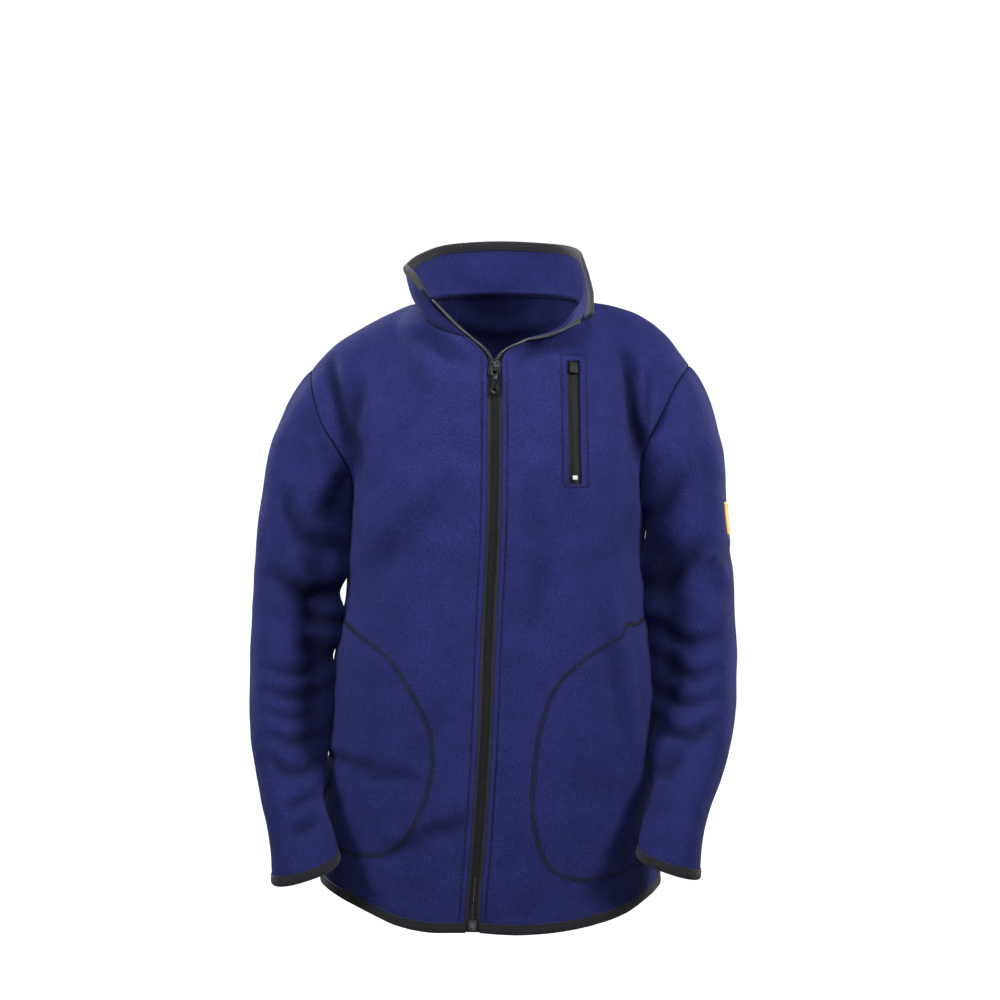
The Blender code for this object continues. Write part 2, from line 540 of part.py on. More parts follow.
# ---------------------------------------------------------------- folds and walls
def grid_normals(grid, closed):
    """Normals of a grid's points, each face counted by its angle at the point."""
    normals = np.zeros_like(grid)
    low, high = slice(None, -1), slice(1, None)
    for row, other_row in ((low, high), (high, low)):
        for col, other_col in ((low, high), (high, low)):
            beside = unit(grid[row, other_col] - grid[row, col])
            beyond = unit(grid[other_row, col] - grid[row, col])
            turn = np.arccos(np.clip(np.sum(beside * beyond, axis=-1, keepdims=True), -1.0, 1.0))
            sign = 1.0 if (row is low) == (col is low) else -1.0
            normals[row, col] += sign * turn * unit(np.cross(beside, beyond))
    if closed:
        normals[:, 0] += normals[:, -1]
        normals[:, -1] = normals[:, 0]
    return normals


def folded(grid, closed, outward, folds):
    """The grid with its folds raised or sunk along its normals."""
    normals = unit(grid_normals(grid, closed)) * outward
    rise = np.zeros(grid.shape[:2])
    for fold in folds:
        start, end = np.array(fold.start), np.array(fold.end)
        line = end - start
        reach = ((grid - start) @ line) / (line @ line)
        nearest = start + np.clip(reach, 0.0, 1.0)[..., None] * line
        away = np.linalg.norm(grid - nearest, axis=-1)
        taper = np.clip(1.25 - 1.1 * np.abs(2.0 * np.clip(reach, 0.0, 1.0) - 1.0) ** 2, 0.0, 1.0)
        rise += fold.rise * np.exp(-(away / fold.spread) ** 2) * taper
    return grid + normals * rise[..., None]


def key_of(point):
    return tuple(np.round(point, 5))


class Cloth:
    """A cloth piece: its outer points, its inner points and the shared normals."""

    def __init__(self, name, grid, outward, closed=False):
        self.name = name
        self.grid = grid
        self.closed = closed
        self.outward = outward
        self.normals = grid_normals(grid, closed) * outward

    def settle(self, shared, loose=()):
        """Take the shared normals, stand back from the seams and give the wall its inside."""
        rows, cols = self.grid.shape[:2]
        for row in range(rows):
            for col in range(cols):
                if row in (0, rows - 1) or col in (0, cols - 1):
                    self.normals[row, col] = shared[key_of(self.grid[row, col])]
        self.normals = unit(self.normals)
        moved = self.grid.copy()
        half = SEAM_GAP / 2
        borders = {
            "bottom": (self.grid[0], self.grid[1], self.normals[0], (0, slice(None))),
            "top": (self.grid[-1], self.grid[-2], self.normals[-1], (rows - 1, slice(None))),
            "start": (self.grid[:, 0], self.grid[:, 1], self.normals[:, 0], (slice(None), 0)),
            "end": (self.grid[:, -1], self.grid[:, -2], self.normals[:, -1], (slice(None), cols - 1)),
        }
        for side, (edge, inner, normal, place) in borders.items():
            if side in loose or (self.closed and side in ("start", "end")):
                continue
            around = np.vstack([edge[-2], edge, edge[1]]) if self.closed else edge
            along = np.gradient(around, axis=0)
            along = along[1:-1] if self.closed else along
            square = unit(np.cross(along, normal))
            inward = np.sum((inner - edge) * square, axis=-1, keepdims=True)
            moved[place] += square * np.sign(inward) * half
        self.outer = moved
        self.inner = moved - self.normals * CLOTH
        return self


def share_normals(pieces):
    """Sum the normals of all pieces at every border point that they have in common."""
    shared = {}
    for piece in pieces:
        rows, cols = piece.grid.shape[:2]
        for row in range(rows):
            for col in range(cols):
                border = row in (0, rows - 1) or col in (0, cols - 1)
                if not border or (piece.closed and col == cols - 1):
                    continue
                key = key_of(piece.grid[row, col])
                shared[key] = shared.get(key, 0.0) + piece.normals[row, col]
    return shared


# ---------------------------------------------------------------- making objects
def clear_scene():
    for item in list(bpy.data.objects):
        bpy.data.objects.remove(item, do_unlink=True)


def new_collection(name):
    collection = bpy.data.collections.new(name)
    bpy.context.scene.collection.children.link(collection)
    return collection


def material(name, colour, roughness, metallic=0.0):
    found = bpy.data.materials.get(name)
    if found:
        return found
    made = bpy.data.materials.new(name)
    made.use_nodes = True
    shader = made.node_tree.nodes["Principled BSDF"]
    shader.inputs["Base Color"].default_value = (*colour, 1.0)
    shader.inputs["Roughness"].default_value = roughness
    shader.inputs["Metallic"].default_value = metallic
    made.diffuse_color = (*colour, 1.0)
    return made


def add_object(name, bm, finish, collection):
    """Link a finished bmesh as an object with its material."""
    bmesh.ops.recalc_face_normals(bm, faces=bm.faces)
    mesh = bpy.data.meshes.new(name)
    bm.to_mesh(mesh)
    bm.free()
    made = bpy.data.objects.new(name, mesh)
    made.data.materials.append(finish)
    collection.objects.link(made)
    return made


def laid_grid(bm, points):
    """A bmesh grid whose points are moved to the given rows and columns of points."""
    rows, cols = points.shape[:2]
    bmesh.ops.create_grid(bm, x_segments=cols - 1, y_segments=rows - 1, size=1.0)
    layer = bm.verts.layers.int.new("place")
    placed = {}
    for vert in bm.verts:
        col = round((vert.co.x + 1.0) / 2.0 * (cols - 1))
        row = round((vert.co.y + 1.0) / 2.0 * (rows - 1))
        vert.co = points[row, col]
        vert[layer] = row * cols + col
        placed[row, col] = vert
    bm.verts.index_update()
    return layer, placed


def split(bm, faces, turned=()):
    """Cut each four-sided face across the same way, or the other way for the turned ones."""
    turned = set(turned)
    plain = [face for face in faces if face not in turned]
    bmesh.ops.triangulate(bm, faces=plain, quad_method="FIXED", ngon_method="BEAUTY")
    bmesh.ops.triangulate(bm, faces=list(turned), quad_method="ALTERNATE", ngon_method="BEAUTY")


def weld_columns(bm, placed, rows, cols):
    """Join a grid's last column to its first."""
    pairs = {placed[row, cols - 1]: placed[row, 0] for row in range(rows)}
    bmesh.ops.weld_verts(bm, targetmap=pairs)


def wall(name, outer, inner, closed, finish, collection):
    """A closed wall between an outer and an inner grid of points."""
    bm = bmesh.new()
    rows, cols = outer.shape[:2]
    layer, placed = laid_grid(bm, outer)
    split(bm, bm.faces[:])
    if closed:
        weld_columns(bm, placed, rows, cols)
    made = bmesh.ops.extrude_face_region(bm, geom=bm.faces[:], use_keep_orig=True)
    for item in made["geom"]:
        if isinstance(item, bmesh.types.BMVert):
            row, col = divmod(item[layer], cols)
            item.co = inner[row, col]
    rims = [face for face in bm.faces if len(face.verts) == 4]
    bmesh.ops.triangulate(bm, faces=rims, quad_method="SHORT_EDGE", ngon_method="BEAUTY")
    return add_object(name, bm, finish, collection)


def swept(name, points, finish, collection, ring=False, turned=(2, 3)):
    """A solid bar: rows are its stations, columns the corners of its section.

    The sides that are numbered as turned run back along the section, so that facing sides
    are cut across the same way.
    """
    bm = bmesh.new()
    closed = np.concatenate([points, points[:, :1]], axis=1)
    if ring:
        closed = np.concatenate([closed, closed[:1]], axis=0)
    rows, cols = closed.shape[:2]
    layer, placed = laid_grid(bm, closed)
    back = [face for face in bm.faces if min(vert[layer] % cols for vert in face.verts) in turned]
    split(bm, bm.faces[:], back)
    pairs = {placed[row, cols - 1]: placed[row, 0] for row in range(rows)}
    if ring:
        pairs.update({placed[rows - 1, col]: placed[0, col] for col in range(cols - 1)})
        pairs[placed[rows - 1, cols - 1]] = placed[0, 0]
    bmesh.ops.weld_verts(bm, targetmap=pairs)
    if not ring:
        bmesh.ops.holes_fill(bm, edges=[edge for edge in bm.edges if edge.is_boundary], sides=0)
    return add_object(name, bm, finish, collection)


# ---------------------------------------------------------------- bindings, tapes, teeth
class Edge:
    """The edge of a cloth piece as stations, each with a point one row in and two normals."""

    def __init__(self, edge, inner, normal, inner_normal):
        self.edge = edge
        self.inner = inner
        self.normal = unit(normal)
        self.inner_normal = unit(inner_normal)
        inward = inner - edge
        flat = inward - np.sum(inward * self.normal, axis=1, keepdims=True) * self.normal
        self.ahead = -unit(flat)

    def joined(self, other):
        """This edge followed by another, whose first station meets this one's last."""
        def seam(mine, theirs):
            middle = (mine[-1:] + theirs[:1]) / 2
            return np.concatenate([mine[:-1], middle, theirs[1:]])
        return Edge(seam(self.edge, other.edge), seam(self.inner, other.inner),
                    seam(self.normal, other.normal), seam(self.inner_normal, other.inner_normal))

    def place(self, beyond, out):
        """One point for each station, beyond the edge (inside if negative) and out from it."""
        if beyond >= 0.0:
            return self.edge + self.ahead * beyond + self.normal * out
        inward = self.inner - self.edge
        share = -beyond / np.linalg.norm(inward, axis=1, keepdims=True)
        normal = unit(self.normal * (1.0 - share) + self.inner_normal * share)
        return self.edge + inward * share + normal * out

    def bar(self, corners, positions=None):
        """Stations of a bar with these section corners, at whole or part positions."""
        points = np.stack([self.place(beyond, out) for beyond, out in corners], axis=1)
        if positions is None:
            return points
        low = np.clip(np.floor(positions).astype(int), 0, len(points) - 2)
        part = (np.asarray(positions) - low)[:, None, None]
        return points[low] * (1.0 - part) + points[low + 1] * part

    def position_of(self, z):
        """Where along the edge a height is met, counted in stations."""
        rising = np.maximum.accumulate(self.edge[:, 2])
        return float(np.interp(z, rising, np.arange(len(rising))))


def row_edge(piece, row, inner_row):
    return Edge(piece.outer[row], piece.outer[inner_row], piece.normals[row], piece.normals[inner_row])


def column_edge(piece, col, inner_col):
    return Edge(piece.outer[:, col], piece.outer[:, inner_col],
                piece.normals[:, col], piece.normals[:, inner_col])


def reversed_edge(edge):
    return Edge(edge.edge[::-1], edge.inner[::-1], edge.normal[::-1], edge.inner_normal[::-1])


def binding_section():
    """A folded strip round the edge of the cloth: its outside, then its inside."""
    high, low = BINDING_GAP, -CLOTH - BINDING_GAP
    fold = BINDING_BEYOND
    thick = BINDING_CLOTH
    return (
        (-BINDING_WIDTH, high + thick), (fold, high + thick), (fold + thick, high - thick * 0.6),
        (fold + thick, low + thick * 0.6), (fold, low - thick), (-BINDING_WIDTH, low - thick),
        (-BINDING_WIDTH, low), (fold, low), (fold, high), (-BINDING_WIDTH, high),
    )


def strip_section(start, end, middle, thick):
    """A flat strip from one distance beyond the edge to another, about a middle depth."""
    high, low = middle + thick / 2, middle - thick / 2
    return ((start, high), (end, high), (end, low), (start, low))


def positions_between(start, end):
    """The whole stations between two positions, with both ends."""
    whole = [float(index) for index in range(math.ceil(start + 0.08), math.floor(end - 0.08) + 1)]
    return np.array([start, *whole, end])


# ---------------------------------------------------------------- small solid pieces
def boxed(bm, size, centre):
    made = bmesh.ops.create_cube(bm, size=1.0)
    bmesh.ops.scale(bm, vec=size, verts=made["verts"])
    bmesh.ops.translate(bm, vec=centre, verts=made["verts"])
    return made["verts"]


def framed_object(name, bm, frame, finish, collection):
    """Place a bmesh made in its own frame: X across, Y out of the cloth, Z up."""
    bmesh.ops.transform(bm, matrix=frame, verts=bm.verts)
    return add_object(name, bm, finish, collection)


def frame_at(origin, normal, up):
    """A frame with Y against the normal (into the cloth) and Z along up."""
    into = -Vector(normal).normalized()
    up = Vector(up)
    up = (up - into * up.dot(into)).normalized()
    across = into.cross(up).normalized()
    matrix = Matrix((across, into, up)).transposed().to_4x4()
    matrix.translation = Vector(origin)
    return matrix


def pressed(base, other, operation):
    """Join or cut a solid with another by an exact Boolean, and drop the other one."""
    modifier = base.modifiers.new(operation.lower(), "BOOLEAN")
    modifier.operation = operation
    modifier.solver = "EXACT"
    modifier.object = other
    bpy.context.view_layer.update()
    evaluated = base.evaluated_get(bpy.context.evaluated_depsgraph_get())
    mesh = bpy.data.meshes.new_from_object(evaluated)
    base.modifiers.clear()
    base.data = mesh
    bpy.data.objects.remove(other, do_unlink=True)
    return base


def outline_plate(name, loops, thickness, finish, collection):
    """A flat plate in X and Z with holes, from closed loops of points."""
    curve = bpy.data.curves.new(name, "CURVE")
    curve.dimensions = "2D"
    curve.fill_mode = "BOTH"
    curve.extrude = thickness / 2
    for loop in loops:
        line = curve.splines.new("POLY")
        line.points.add(len(loop) - 1)
        for point, (x, z) in zip(line.points, loop):
            point.co = (x, z, 0.0, 1.0)
        line.use_cyclic_u = True
    drawn = bpy.data.objects.new(name + " outline", curve)
    collection.objects.link(drawn)
    bpy.context.view_layer.update()
    evaluated = drawn.evaluated_get(bpy.context.evaluated_depsgraph_get())
    mesh = bpy.data.meshes.new_from_object(evaluated)
    bpy.data.objects.remove(drawn, do_unlink=True)
    bm = bmesh.new()
    bm.from_mesh(mesh)
    bmesh.ops.remove_doubles(bm, verts=bm.verts, dist=0.000002)
    bmesh.ops.rotate(bm, matrix=Matrix.Rotation(math.pi / 2, 3, "X"), verts=bm.verts)
    return add_object(name, bm, finish, collection)


def arc(middle_x, middle_z, radius, start, end, count):
    """Points of an arc, from one angle to another in degrees."""
    turns = [math.radians(start + (end - start) * step / count) for step in range(count + 1)]
    return [(middle_x + radius * math.cos(turn), middle_z + radius * math.sin(turn)) for turn in turns]


# ---------------------------------------------------------------- the cloth
def shoulder_of_back(back, side):
    """The columns of the back's top row along one shoulder seam, from the neck point out."""
    half = BACK_HALF_COLS
    if side < 0:
        return list(range(half - BACK_NECK_COLS, -1, -1))
    return list(range(half + BACK_NECK_COLS, 2 * half + 1))


def cloth_pieces():
    """The fronts, back, sleeves and collar, with folds, shared seams and walls."""
    fronts = {side: folded(front_grid(side), False, side, BODY_FOLDS) for side in (-1, 1)}
    back = folded(back_grid(), False, -1, BODY_FOLDS)
    for side, front in fronts.items():
        column = 0 if side < 0 else -1
        under = slice(0, LOWER_ROWS + 1)
        seam = (front[under, -1] + back[under, column]) / 2
        front[under, -1] = seam
        back[under, column] = seam
        across = shoulder_of_back(back, side)
        seam = (front[-1, NECK_COLS:] + back[-1, across]) / 2
        front[-1, NECK_COLS:] = seam
        back[-1, across] = seam
    right, left = fronts[-1], fronts[1]
    sleeves = {}
    for side, front in fronts.items():
        column = 0 if side < 0 else -1
        plain = sleeve_grid(side, front[LOWER_ROWS:, -1], back[LOWER_ROWS:, column])
        creased = folded(plain, True, -side, SLEEVE_FOLDS)
        creased[0] = plain[0]
        creased[:, -1] = creased[:, 0]
        sleeves[side] = creased
    middle = BACK_HALF_COLS
    neckline = np.vstack([
        right[-1, :NECK_COLS + 1],
        back[-1, middle - BACK_NECK_COLS + 1:middle + BACK_NECK_COLS],
        left[-1, NECK_COLS::-1],
    ])
    pieces = {
        "front_right": Cloth("front_right", right, -1),
        "front_left": Cloth("front_left", left, 1),
        "back": Cloth("back", back, -1),
        "sleeve_right": Cloth("sleeve_right", sleeves[-1], 1, closed=True),
        "sleeve_left": Cloth("sleeve_left", sleeves[1], -1, closed=True),
        "collar": Cloth("collar", collar_grid(neckline), -1),
    }
    shared = share_normals(pieces.values())
    for row in range(closed_rows(right)):
        mine, theirs = key_of(right[row, 0]), key_of(left[row, 0])
        both = shared[mine] + shared[theirs]
        shared[mine] = shared[theirs] = both
    loose = {
        "front_right": ("bottom", "start"), "front_left": ("bottom", "start"), "back": ("bottom",),
        "sleeve_right": ("top",), "sleeve_left": ("top",), "collar": ("top", "start", "end"),
    }
    for name, piece in pieces.items():
        piece.settle(shared, loose[name])
    return pieces


def closed_rows(front):
    """How many rows of a front's edge lie beside the closed zip and its slider."""
    return int(np.sum(front[:, 0, 2] < SLIDER_Z + SLIDER_LONG / 2 + 0.0010))


def add_cloth(pieces, collection):
    fleece = material("navy fleece", NAVY, 0.95)
    made = {}
    for name, piece in pieces.items():
        made[name] = wall(name, piece.outer, piece.inner, piece.closed, fleece, collection)
    return made


def add_bindings(pieces, collection):
    """The stretch bindings of the collar's top edge, the cuffs and the hem."""
    black = material("black stretch binding", BLACK_CLOTH, 0.85)
    section = binding_section()
    back = (4, 7, 8)
    top = row_edge(pieces["collar"], -1, -2).bar(section)
    swept("collar_binding", top, black, collection, turned=back)
    for name in ("right", "left"):
        cuff = row_edge(pieces["sleeve_" + name], -1, -2).bar(section)[:-1]
        swept("cuff_binding_" + name, cuff, black, collection, ring=True, turned=back)
    hem = row_edge(pieces["front_right"], 0, 1).joined(row_edge(pieces["back"], 0, 1))
    hem = hem.joined(reversed_edge(row_edge(pieces["front_left"], 0, 1)))
    swept("hem_binding", hem.bar(section), black, collection, turned=back)


# ---------------------------------------------------------------- the main zip
TAPE_MIDDLE = -CLOTH - 1.75 * LAY_GAP - TAPE_CLOTH / 2
TEETH_GAP = 0.0007        # clear width between a tape and its open row of teeth
BOX_SIZE = (0.0100, 0.0044, 0.0112)
PIN_SIZE = (0.0020, 0.0024, 0.0120)


def zip_edges(pieces):
    """Both zip edges, from the hem up to the collar's top corner."""
    edges = {}
    for side, name in ((-1, "front_right"), (1, "front_left")):
        collar_col = (0, 1) if side < 0 else (-1, -2)
        lower = column_edge(pieces[name], 0, 1)
        edges[side] = lower.joined(column_edge(pieces["collar"], *collar_col))
    rows = closed_rows(pieces["front_right"].grid)
    toward = unit(edges[1].edge[:rows] - edges[-1].edge[:rows])
    for side, edge in edges.items():
        edge.ahead[:rows] = -side * toward
    return edges


def middle_of_zip(edges, z):
    """The place, the outward normal and the upward direction of the closed zip at a height."""
    spots = {}
    for height in (z, z + 0.006):
        places, normals = [], []
        for edge in edges.values():
            position = edge.position_of(height)
            places.append(edge.bar(((0.0, 0.0),), [position])[0, 0])
            normals.append(edge.normal[int(round(position))])
        spots[height] = (sum(places) / 2, unit(sum(normals)))
    place, normal = spots[z]
    return place, normal, unit(spots[z + 0.006][0] - place)


def add_zip(pieces, collection):
    """Tapes, the closed chain, the open rows of teeth, and the box and pin at the bottom."""
    black = material("black zip tape", BLACK_CLOTH, 0.80)
    plastic = material("black moulded plastic", BLACK_PLASTIC, 0.35)
    edges = zip_edges(pieces)
    hem_z = pieces["front_right"].outer[0, 0, 2]
    box_top = hem_z + BOX_SIZE[2] - 0.0010
    tape_edge = HALF_CHANNEL - CHAIN_HALF - 0.0002
    open_from = SLIDER_Z + SLIDER_LONG / 2 + 0.0040
    for side, name in ((-1, "right"), (1, "left")):
        edge = edges[side]
        last = len(edge.edge) - 2.0
        tape = strip_section(-TAPE_UNDER, tape_edge, TAPE_MIDDLE, TAPE_CLOTH)
        first = edge.position_of(box_top + SEAM_GAP)
        opened = edge.position_of(open_from)
        places = np.sort(np.append(positions_between(first, last), opened))
        swept("zip_tape_" + name, edge.bar(tape, places), black, collection,
              turned=(0, 1) if side < 0 else (2, 3))
        teeth = strip_section(tape_edge + TEETH_GAP, HALF_CHANNEL, TAPE_MIDDLE, CHAIN_THICK)
        places = positions_between(opened, last)
        swept("zip_teeth_" + name, edge.bar(teeth, places), plastic, collection,
              turned=(0, 1) if side < 0 else (2, 3))
    chain = []
    pin_top = box_top + PIN_SIZE[2]
    right = edges[-1]
    chain_end = SLIDER_Z - SLIDER_LONG / 2 + 0.0006
    places = positions_between(right.position_of(pin_top + SEAM_GAP), right.position_of(chain_end))
    half = CHAIN_THICK / 2
    lines = {side: edge.bar(((0.0, TAPE_MIDDLE + half), (0.0, TAPE_MIDDLE - half)), places)
             for side, edge in edges.items()}
    for low, high in zip(lines[-1], lines[1]):
        middle, across = (low + high) / 2, unit(high[0] - low[0]) * CHAIN_HALF
        chain.append([middle[0] - across, middle[0] + across, middle[1] + across, middle[1] - across])
    swept("zip_chain", np.array(chain), plastic, collection)
    place, normal, up = middle_of_zip(edges, hem_z + BOX_SIZE[2] / 2 - 0.0010)
    frame = frame_at(place + normal * TAPE_MIDDLE, normal, up)
    bm = bmesh.new()
    boxed(bm, BOX_SIZE, (0.0, 0.0, 0.0))
    bmesh.ops.bevel(bm, geom=bm.edges[:], offset=0.0008, segments=1, affect="EDGES", profile=0.5,
                    material=-1)
    framed_object("zip_box", bm, frame, plastic, collection)
    place, normal, up = middle_of_zip(edges, box_top + PIN_SIZE[2] / 2)
    frame = frame_at(place + normal * TAPE_MIDDLE, normal, up)
    bm = bmesh.new()
    boxed(bm, (PIN_SIZE[0], PIN_SIZE[1], PIN_SIZE[2] - 2 * SEAM_GAP), (-0.0012, 0.0, 0.0))
    framed_object("zip_pin", bm, frame, plastic, collection)
    return edges


# The slider's parts along its own axes: X across, Y into the cloth, Z up.
SLIDER_INNER = 0.0038     # clear height between its plates
CORE = (0.0020, 0.0045)   # width and length of the post between them
ARCH_CENTRE = 0.0015      # the bail's middle above the slider's middle
ARCH_HALF = 0.0048
ARCH_WIDE = 0.0022
ARCH_WALL = 0.0011
ARCH_CLEAR = 0.0024
HINGE_OUT = SLIDER_INNER / 2 + SLIDER_PLATE + ARCH_CLEAR / 2
MOUTH = 0.0080            # length of the pull's window
EYE_RADIUS = 0.0048
EYE_HOLE = 0.0019


def add_slider(edges, collection):
    """The slider: two plates, the post between them and the bail that holds the pull."""
    plastic = material("black moulded plastic", BLACK_PLASTIC, 0.35)
    place, normal, up = middle_of_zip(edges, SLIDER_Z)
    frame = frame_at(place + normal * TAPE_MIDDLE, normal, up)
    plate_y = SLIDER_INNER / 2 + SLIDER_PLATE / 2
    front_face = SLIDER_INNER / 2 + SLIDER_PLATE
    arch_out = front_face + ARCH_CLEAR + ARCH_WALL
    pieces = []

    def block(name, size, centre):
        bm = bmesh.new()
        boxed(bm, size, centre)
        pieces.append(add_object(name, bm, plastic, collection))

    block("zip_slider", (SLIDER_WIDE, SLIDER_PLATE, SLIDER_LONG), (0.0, -plate_y, 0.0))
    block("slider back plate", (SLIDER_WIDE, SLIDER_PLATE, SLIDER_LONG), (0.0, plate_y, 0.0))
    core_z = SLIDER_LONG / 2 - CORE[1] / 2
    block("slider post", (CORE[0], SLIDER_INNER + 0.0008, CORE[1]), (0.0, 0.0, core_z))
    leg = front_face + ARCH_CLEAR + ARCH_WALL
    for turn in (-1, 1):
        block("slider leg", (ARCH_WIDE, leg - front_face + 0.0004, ARCH_WALL),
              (0.0, -(leg + front_face - 0.0004) / 2, ARCH_CENTRE + turn * (ARCH_HALF - ARCH_WALL / 2)))
    block("slider bail", (ARCH_WIDE, ARCH_WALL, 2 * ARCH_HALF - 0.0002),
          (0.0, -(arch_out - ARCH_WALL / 2), ARCH_CENTRE))
    body = pieces[0]
    for other in pieces[1:]:
        pressed(body, other, "UNION")
    body.data.transform(frame)
    return frame


def add_pull(edges, slider_frame, collection):
    """The pull: its crossbar under the bail, a window, a raised bar and a round eye."""
    plastic = material("black moulded plastic", BLACK_PLASTIC, 0.35)
    half = PULL_WIDE / 2
    top = PULL_THICK / 2
    eye_z = -(PULL_LONG - EYE_RADIUS - top)
    waist = 0.0026
    outline = [(half, top), (-half, top), (-half, -MOUTH - 0.0010), (-waist, -MOUTH - 0.0035)]
    outline += arc(0.0, eye_z, EYE_RADIUS, 122.0, 418.0, 16)
    outline += [(waist, -MOUTH - 0.0035), (half, -MOUTH - 0.0010)]
    arm = 0.0018
    window = [(half - arm, -top), (-half + arm, -top), (-half + arm, -MOUTH), (half - arm, -MOUTH)]
    hole = arc(0.0, eye_z, EYE_HOLE, 0.0, 330.0, 11)
    pull = outline_plate("zip_pull", [outline, window, hole], PULL_THICK, plastic, collection)
    bm = bmesh.new()
    boxed(bm, (PULL_WIDE * 0.55, 0.0012, 0.0014), (0.0, -PULL_THICK / 2, -MOUTH - 0.0050))
    pressed(pull, add_object("pull bar", bm, plastic, collection), "UNION")
    hinge = slider_frame @ Vector((0.0, -HINGE_OUT, ARCH_CENTRE))
    tip, normal, _ = middle_of_zip(edges, hinge.z - PULL_LONG + EYE_RADIUS)
    resting = Vector(tip + normal * (PULL_THICK / 2 + 2 * LAY_GAP))
    into = slider_frame.to_3x3() @ Vector((0.0, -1.0, 0.0))
    pull.matrix_world = frame_at(hinge, into, hinge - resting)
    return pull


# ---------------------------------------------------------------- pockets and label
def add_pocket_bags(pieces, collection):
    """Hand-pocket bags: one layer of fleece behind each front, from the side seam inwards."""
    inside = material("navy fleece inside", NAVY_INSIDE, 0.95)
    for name, curve in (("right", POCKET_RIGHT), ("left", POCKET_LEFT)):
        front = pieces["front_" + name]
        heights = front.outer[:, FRONT_COLS // 2, 2]
        rows = np.where((heights > curve[-1][0]) & (heights < curve[0][0]))[0]
        curve_z = [point[0] for point in reversed(curve)]
        curve_x = [point[1] for point in reversed(curve)]
        outer, inner = [], []
        for row in rows:
            edge_x = spline(curve_z, curve_x, [heights[row]])[0]
            xs = front.outer[row, :, 0]
            order = np.argsort(xs)
            first = float(np.interp(edge_x, xs[order], np.arange(len(xs))[order]))
            columns = np.linspace(first, FRONT_COLS - 0.20, BAG_COLS + 1)
            low = np.clip(np.floor(columns).astype(int), 0, FRONT_COLS - 1)
            part = (columns - low)[:, None]
            wall_in = front.inner[row, low] * (1 - part) + front.inner[row, low + 1] * part
            normal = unit(front.normals[row, low] * (1 - part) + front.normals[row, low + 1] * part)
            outer.append(wall_in - normal * LAY_GAP)
            inner.append(wall_in - normal * (LAY_GAP + BAG_CLOTH))
        wall("pocket_bag_" + name, np.array(outer), np.array(inner), False, inside, collection)


def tree_of(grid):
    """A ray tree of a grid's surface."""
    rows, cols = grid.shape[:2]
    points = [Vector(point) for point in grid.reshape(-1, 3)]
    faces = []
    for row in range(rows - 1):
        for col in range(cols - 1):
            here, above = row * cols + col, (row + 1) * cols + col
            faces += [(here, here + 1, above + 1), (here, above + 1, above)]
    return BVHTree.FromPolygons(points, faces)


def laid_patch(piece, tree, spots, start, end, direction):
    """Points seen on a piece along a direction, moved out to two depths along its normals."""
    columns = piece.outer.shape[1] - 1
    top, bottom = [], []
    for line in spots:
        high, low = [], []
        for spot in line:
            place, _, face, _ = tree.ray_cast(Vector(spot), Vector(direction))
            place = np.array(place)
            row, col = divmod(face // 2, columns)
            corners = [(row + up, col + over) for up in (0, 1) for over in (0, 1)]
            normal = unit(sum(
                piece.normals[corner] / (1e-6 + np.linalg.norm(piece.outer[corner] - place) ** 2)
                for corner in corners))
            high.append(place + normal * start)
            low.append(place + normal * end)
        top.append(high)
        bottom.append(low)
    return np.array(top), np.array(bottom)


def add_chest_pocket(pieces, front, collection, cutters):
    """The chest pocket's mouth in the left front, with its zip behind it."""
    black = material("black zip tape", BLACK_CLOTH, 0.80)
    coil = material("black coil", BLACK_PLASTIC, 0.50)
    plastic = material("black moulded plastic", BLACK_PLASTIC, 0.35)
    white = material("white stop", WHITE_PLASTIC, 0.45)
    panel = pieces["front_left"]
    tree = tree_of(panel.outer)
    low_z, high_z = CHEST_MOUTH_Z

    def middle_x(z):
        return CHEST_MOUTH_X + CHEST_MOUTH_LEAN * (0.5 - (z - low_z) / (high_z - low_z))

    def strip(bottom, top, half, rows, cols=3):
        return [[(middle_x(z) + across, -0.3, z) for across in np.linspace(-half, half, cols)]
                for z in np.linspace(bottom, top, rows)]

    view = (0.0, 1.0, 0.0)
    outer_face = -CLOTH - 2 * LAY_GAP
    tape = laid_patch(panel, tree, strip(low_z - 0.004, high_z + 0.003, CHEST_TAPE_HALF, 13, 5),
                      outer_face, outer_face - TAPE_CLOTH, view)
    wall("chest_zip_tape", *tape, False, black, collection)
    coil_low, coil_high = low_z + 0.0095, high_z - 0.0135
    base = outer_face + 1.5 * LAY_GAP
    chain = laid_patch(panel, tree, strip(coil_low, coil_high, COIL_HALF, 13, 2),
                       base + COIL_THICK, base, view)
    wall("chest_zip_coil", *chain, False, coil, collection)
    for name, size, z, finish in (
            ("chest_zip_slider", CHEST_SLIDER, high_z - 0.0070, plastic),
            ("chest_zip_stop", CHEST_STOP, low_z + 0.0065, white)):
        hit = tree.ray_cast(Vector((middle_x(z), -0.3, z)), Vector(view))
        above = tree.ray_cast(Vector((middle_x(z + 0.005), -0.3, z + 0.005)), Vector(view))
        normal = Vector(hit[1]) if hit[1].y < 0 else -Vector(hit[1])
        frame = frame_at(hit[0] + normal * (base + size[1] / 2 + 0.0002), normal, above[0] - hit[0])
        bm = bmesh.new()
        boxed(bm, size, (0.0, 0.0, 0.0))
        bmesh.ops.bevel(bm, geom=bm.edges[:], offset=0.0006, segments=1, affect="EDGES",
                        profile=0.5, material=-1)
        framed_object(name, bm, frame, finish, collection)
    bm = bmesh.new()
    boxed(bm, (CHEST_MOUTH_WIDE, 0.10, high_z - low_z), (CHEST_MOUTH_X, -0.12, (low_z + high_z) / 2))
    cutter = add_object("chest mouth cutter", bm, black, cutters)
    pressed(front, cutter, "DIFFERENCE")


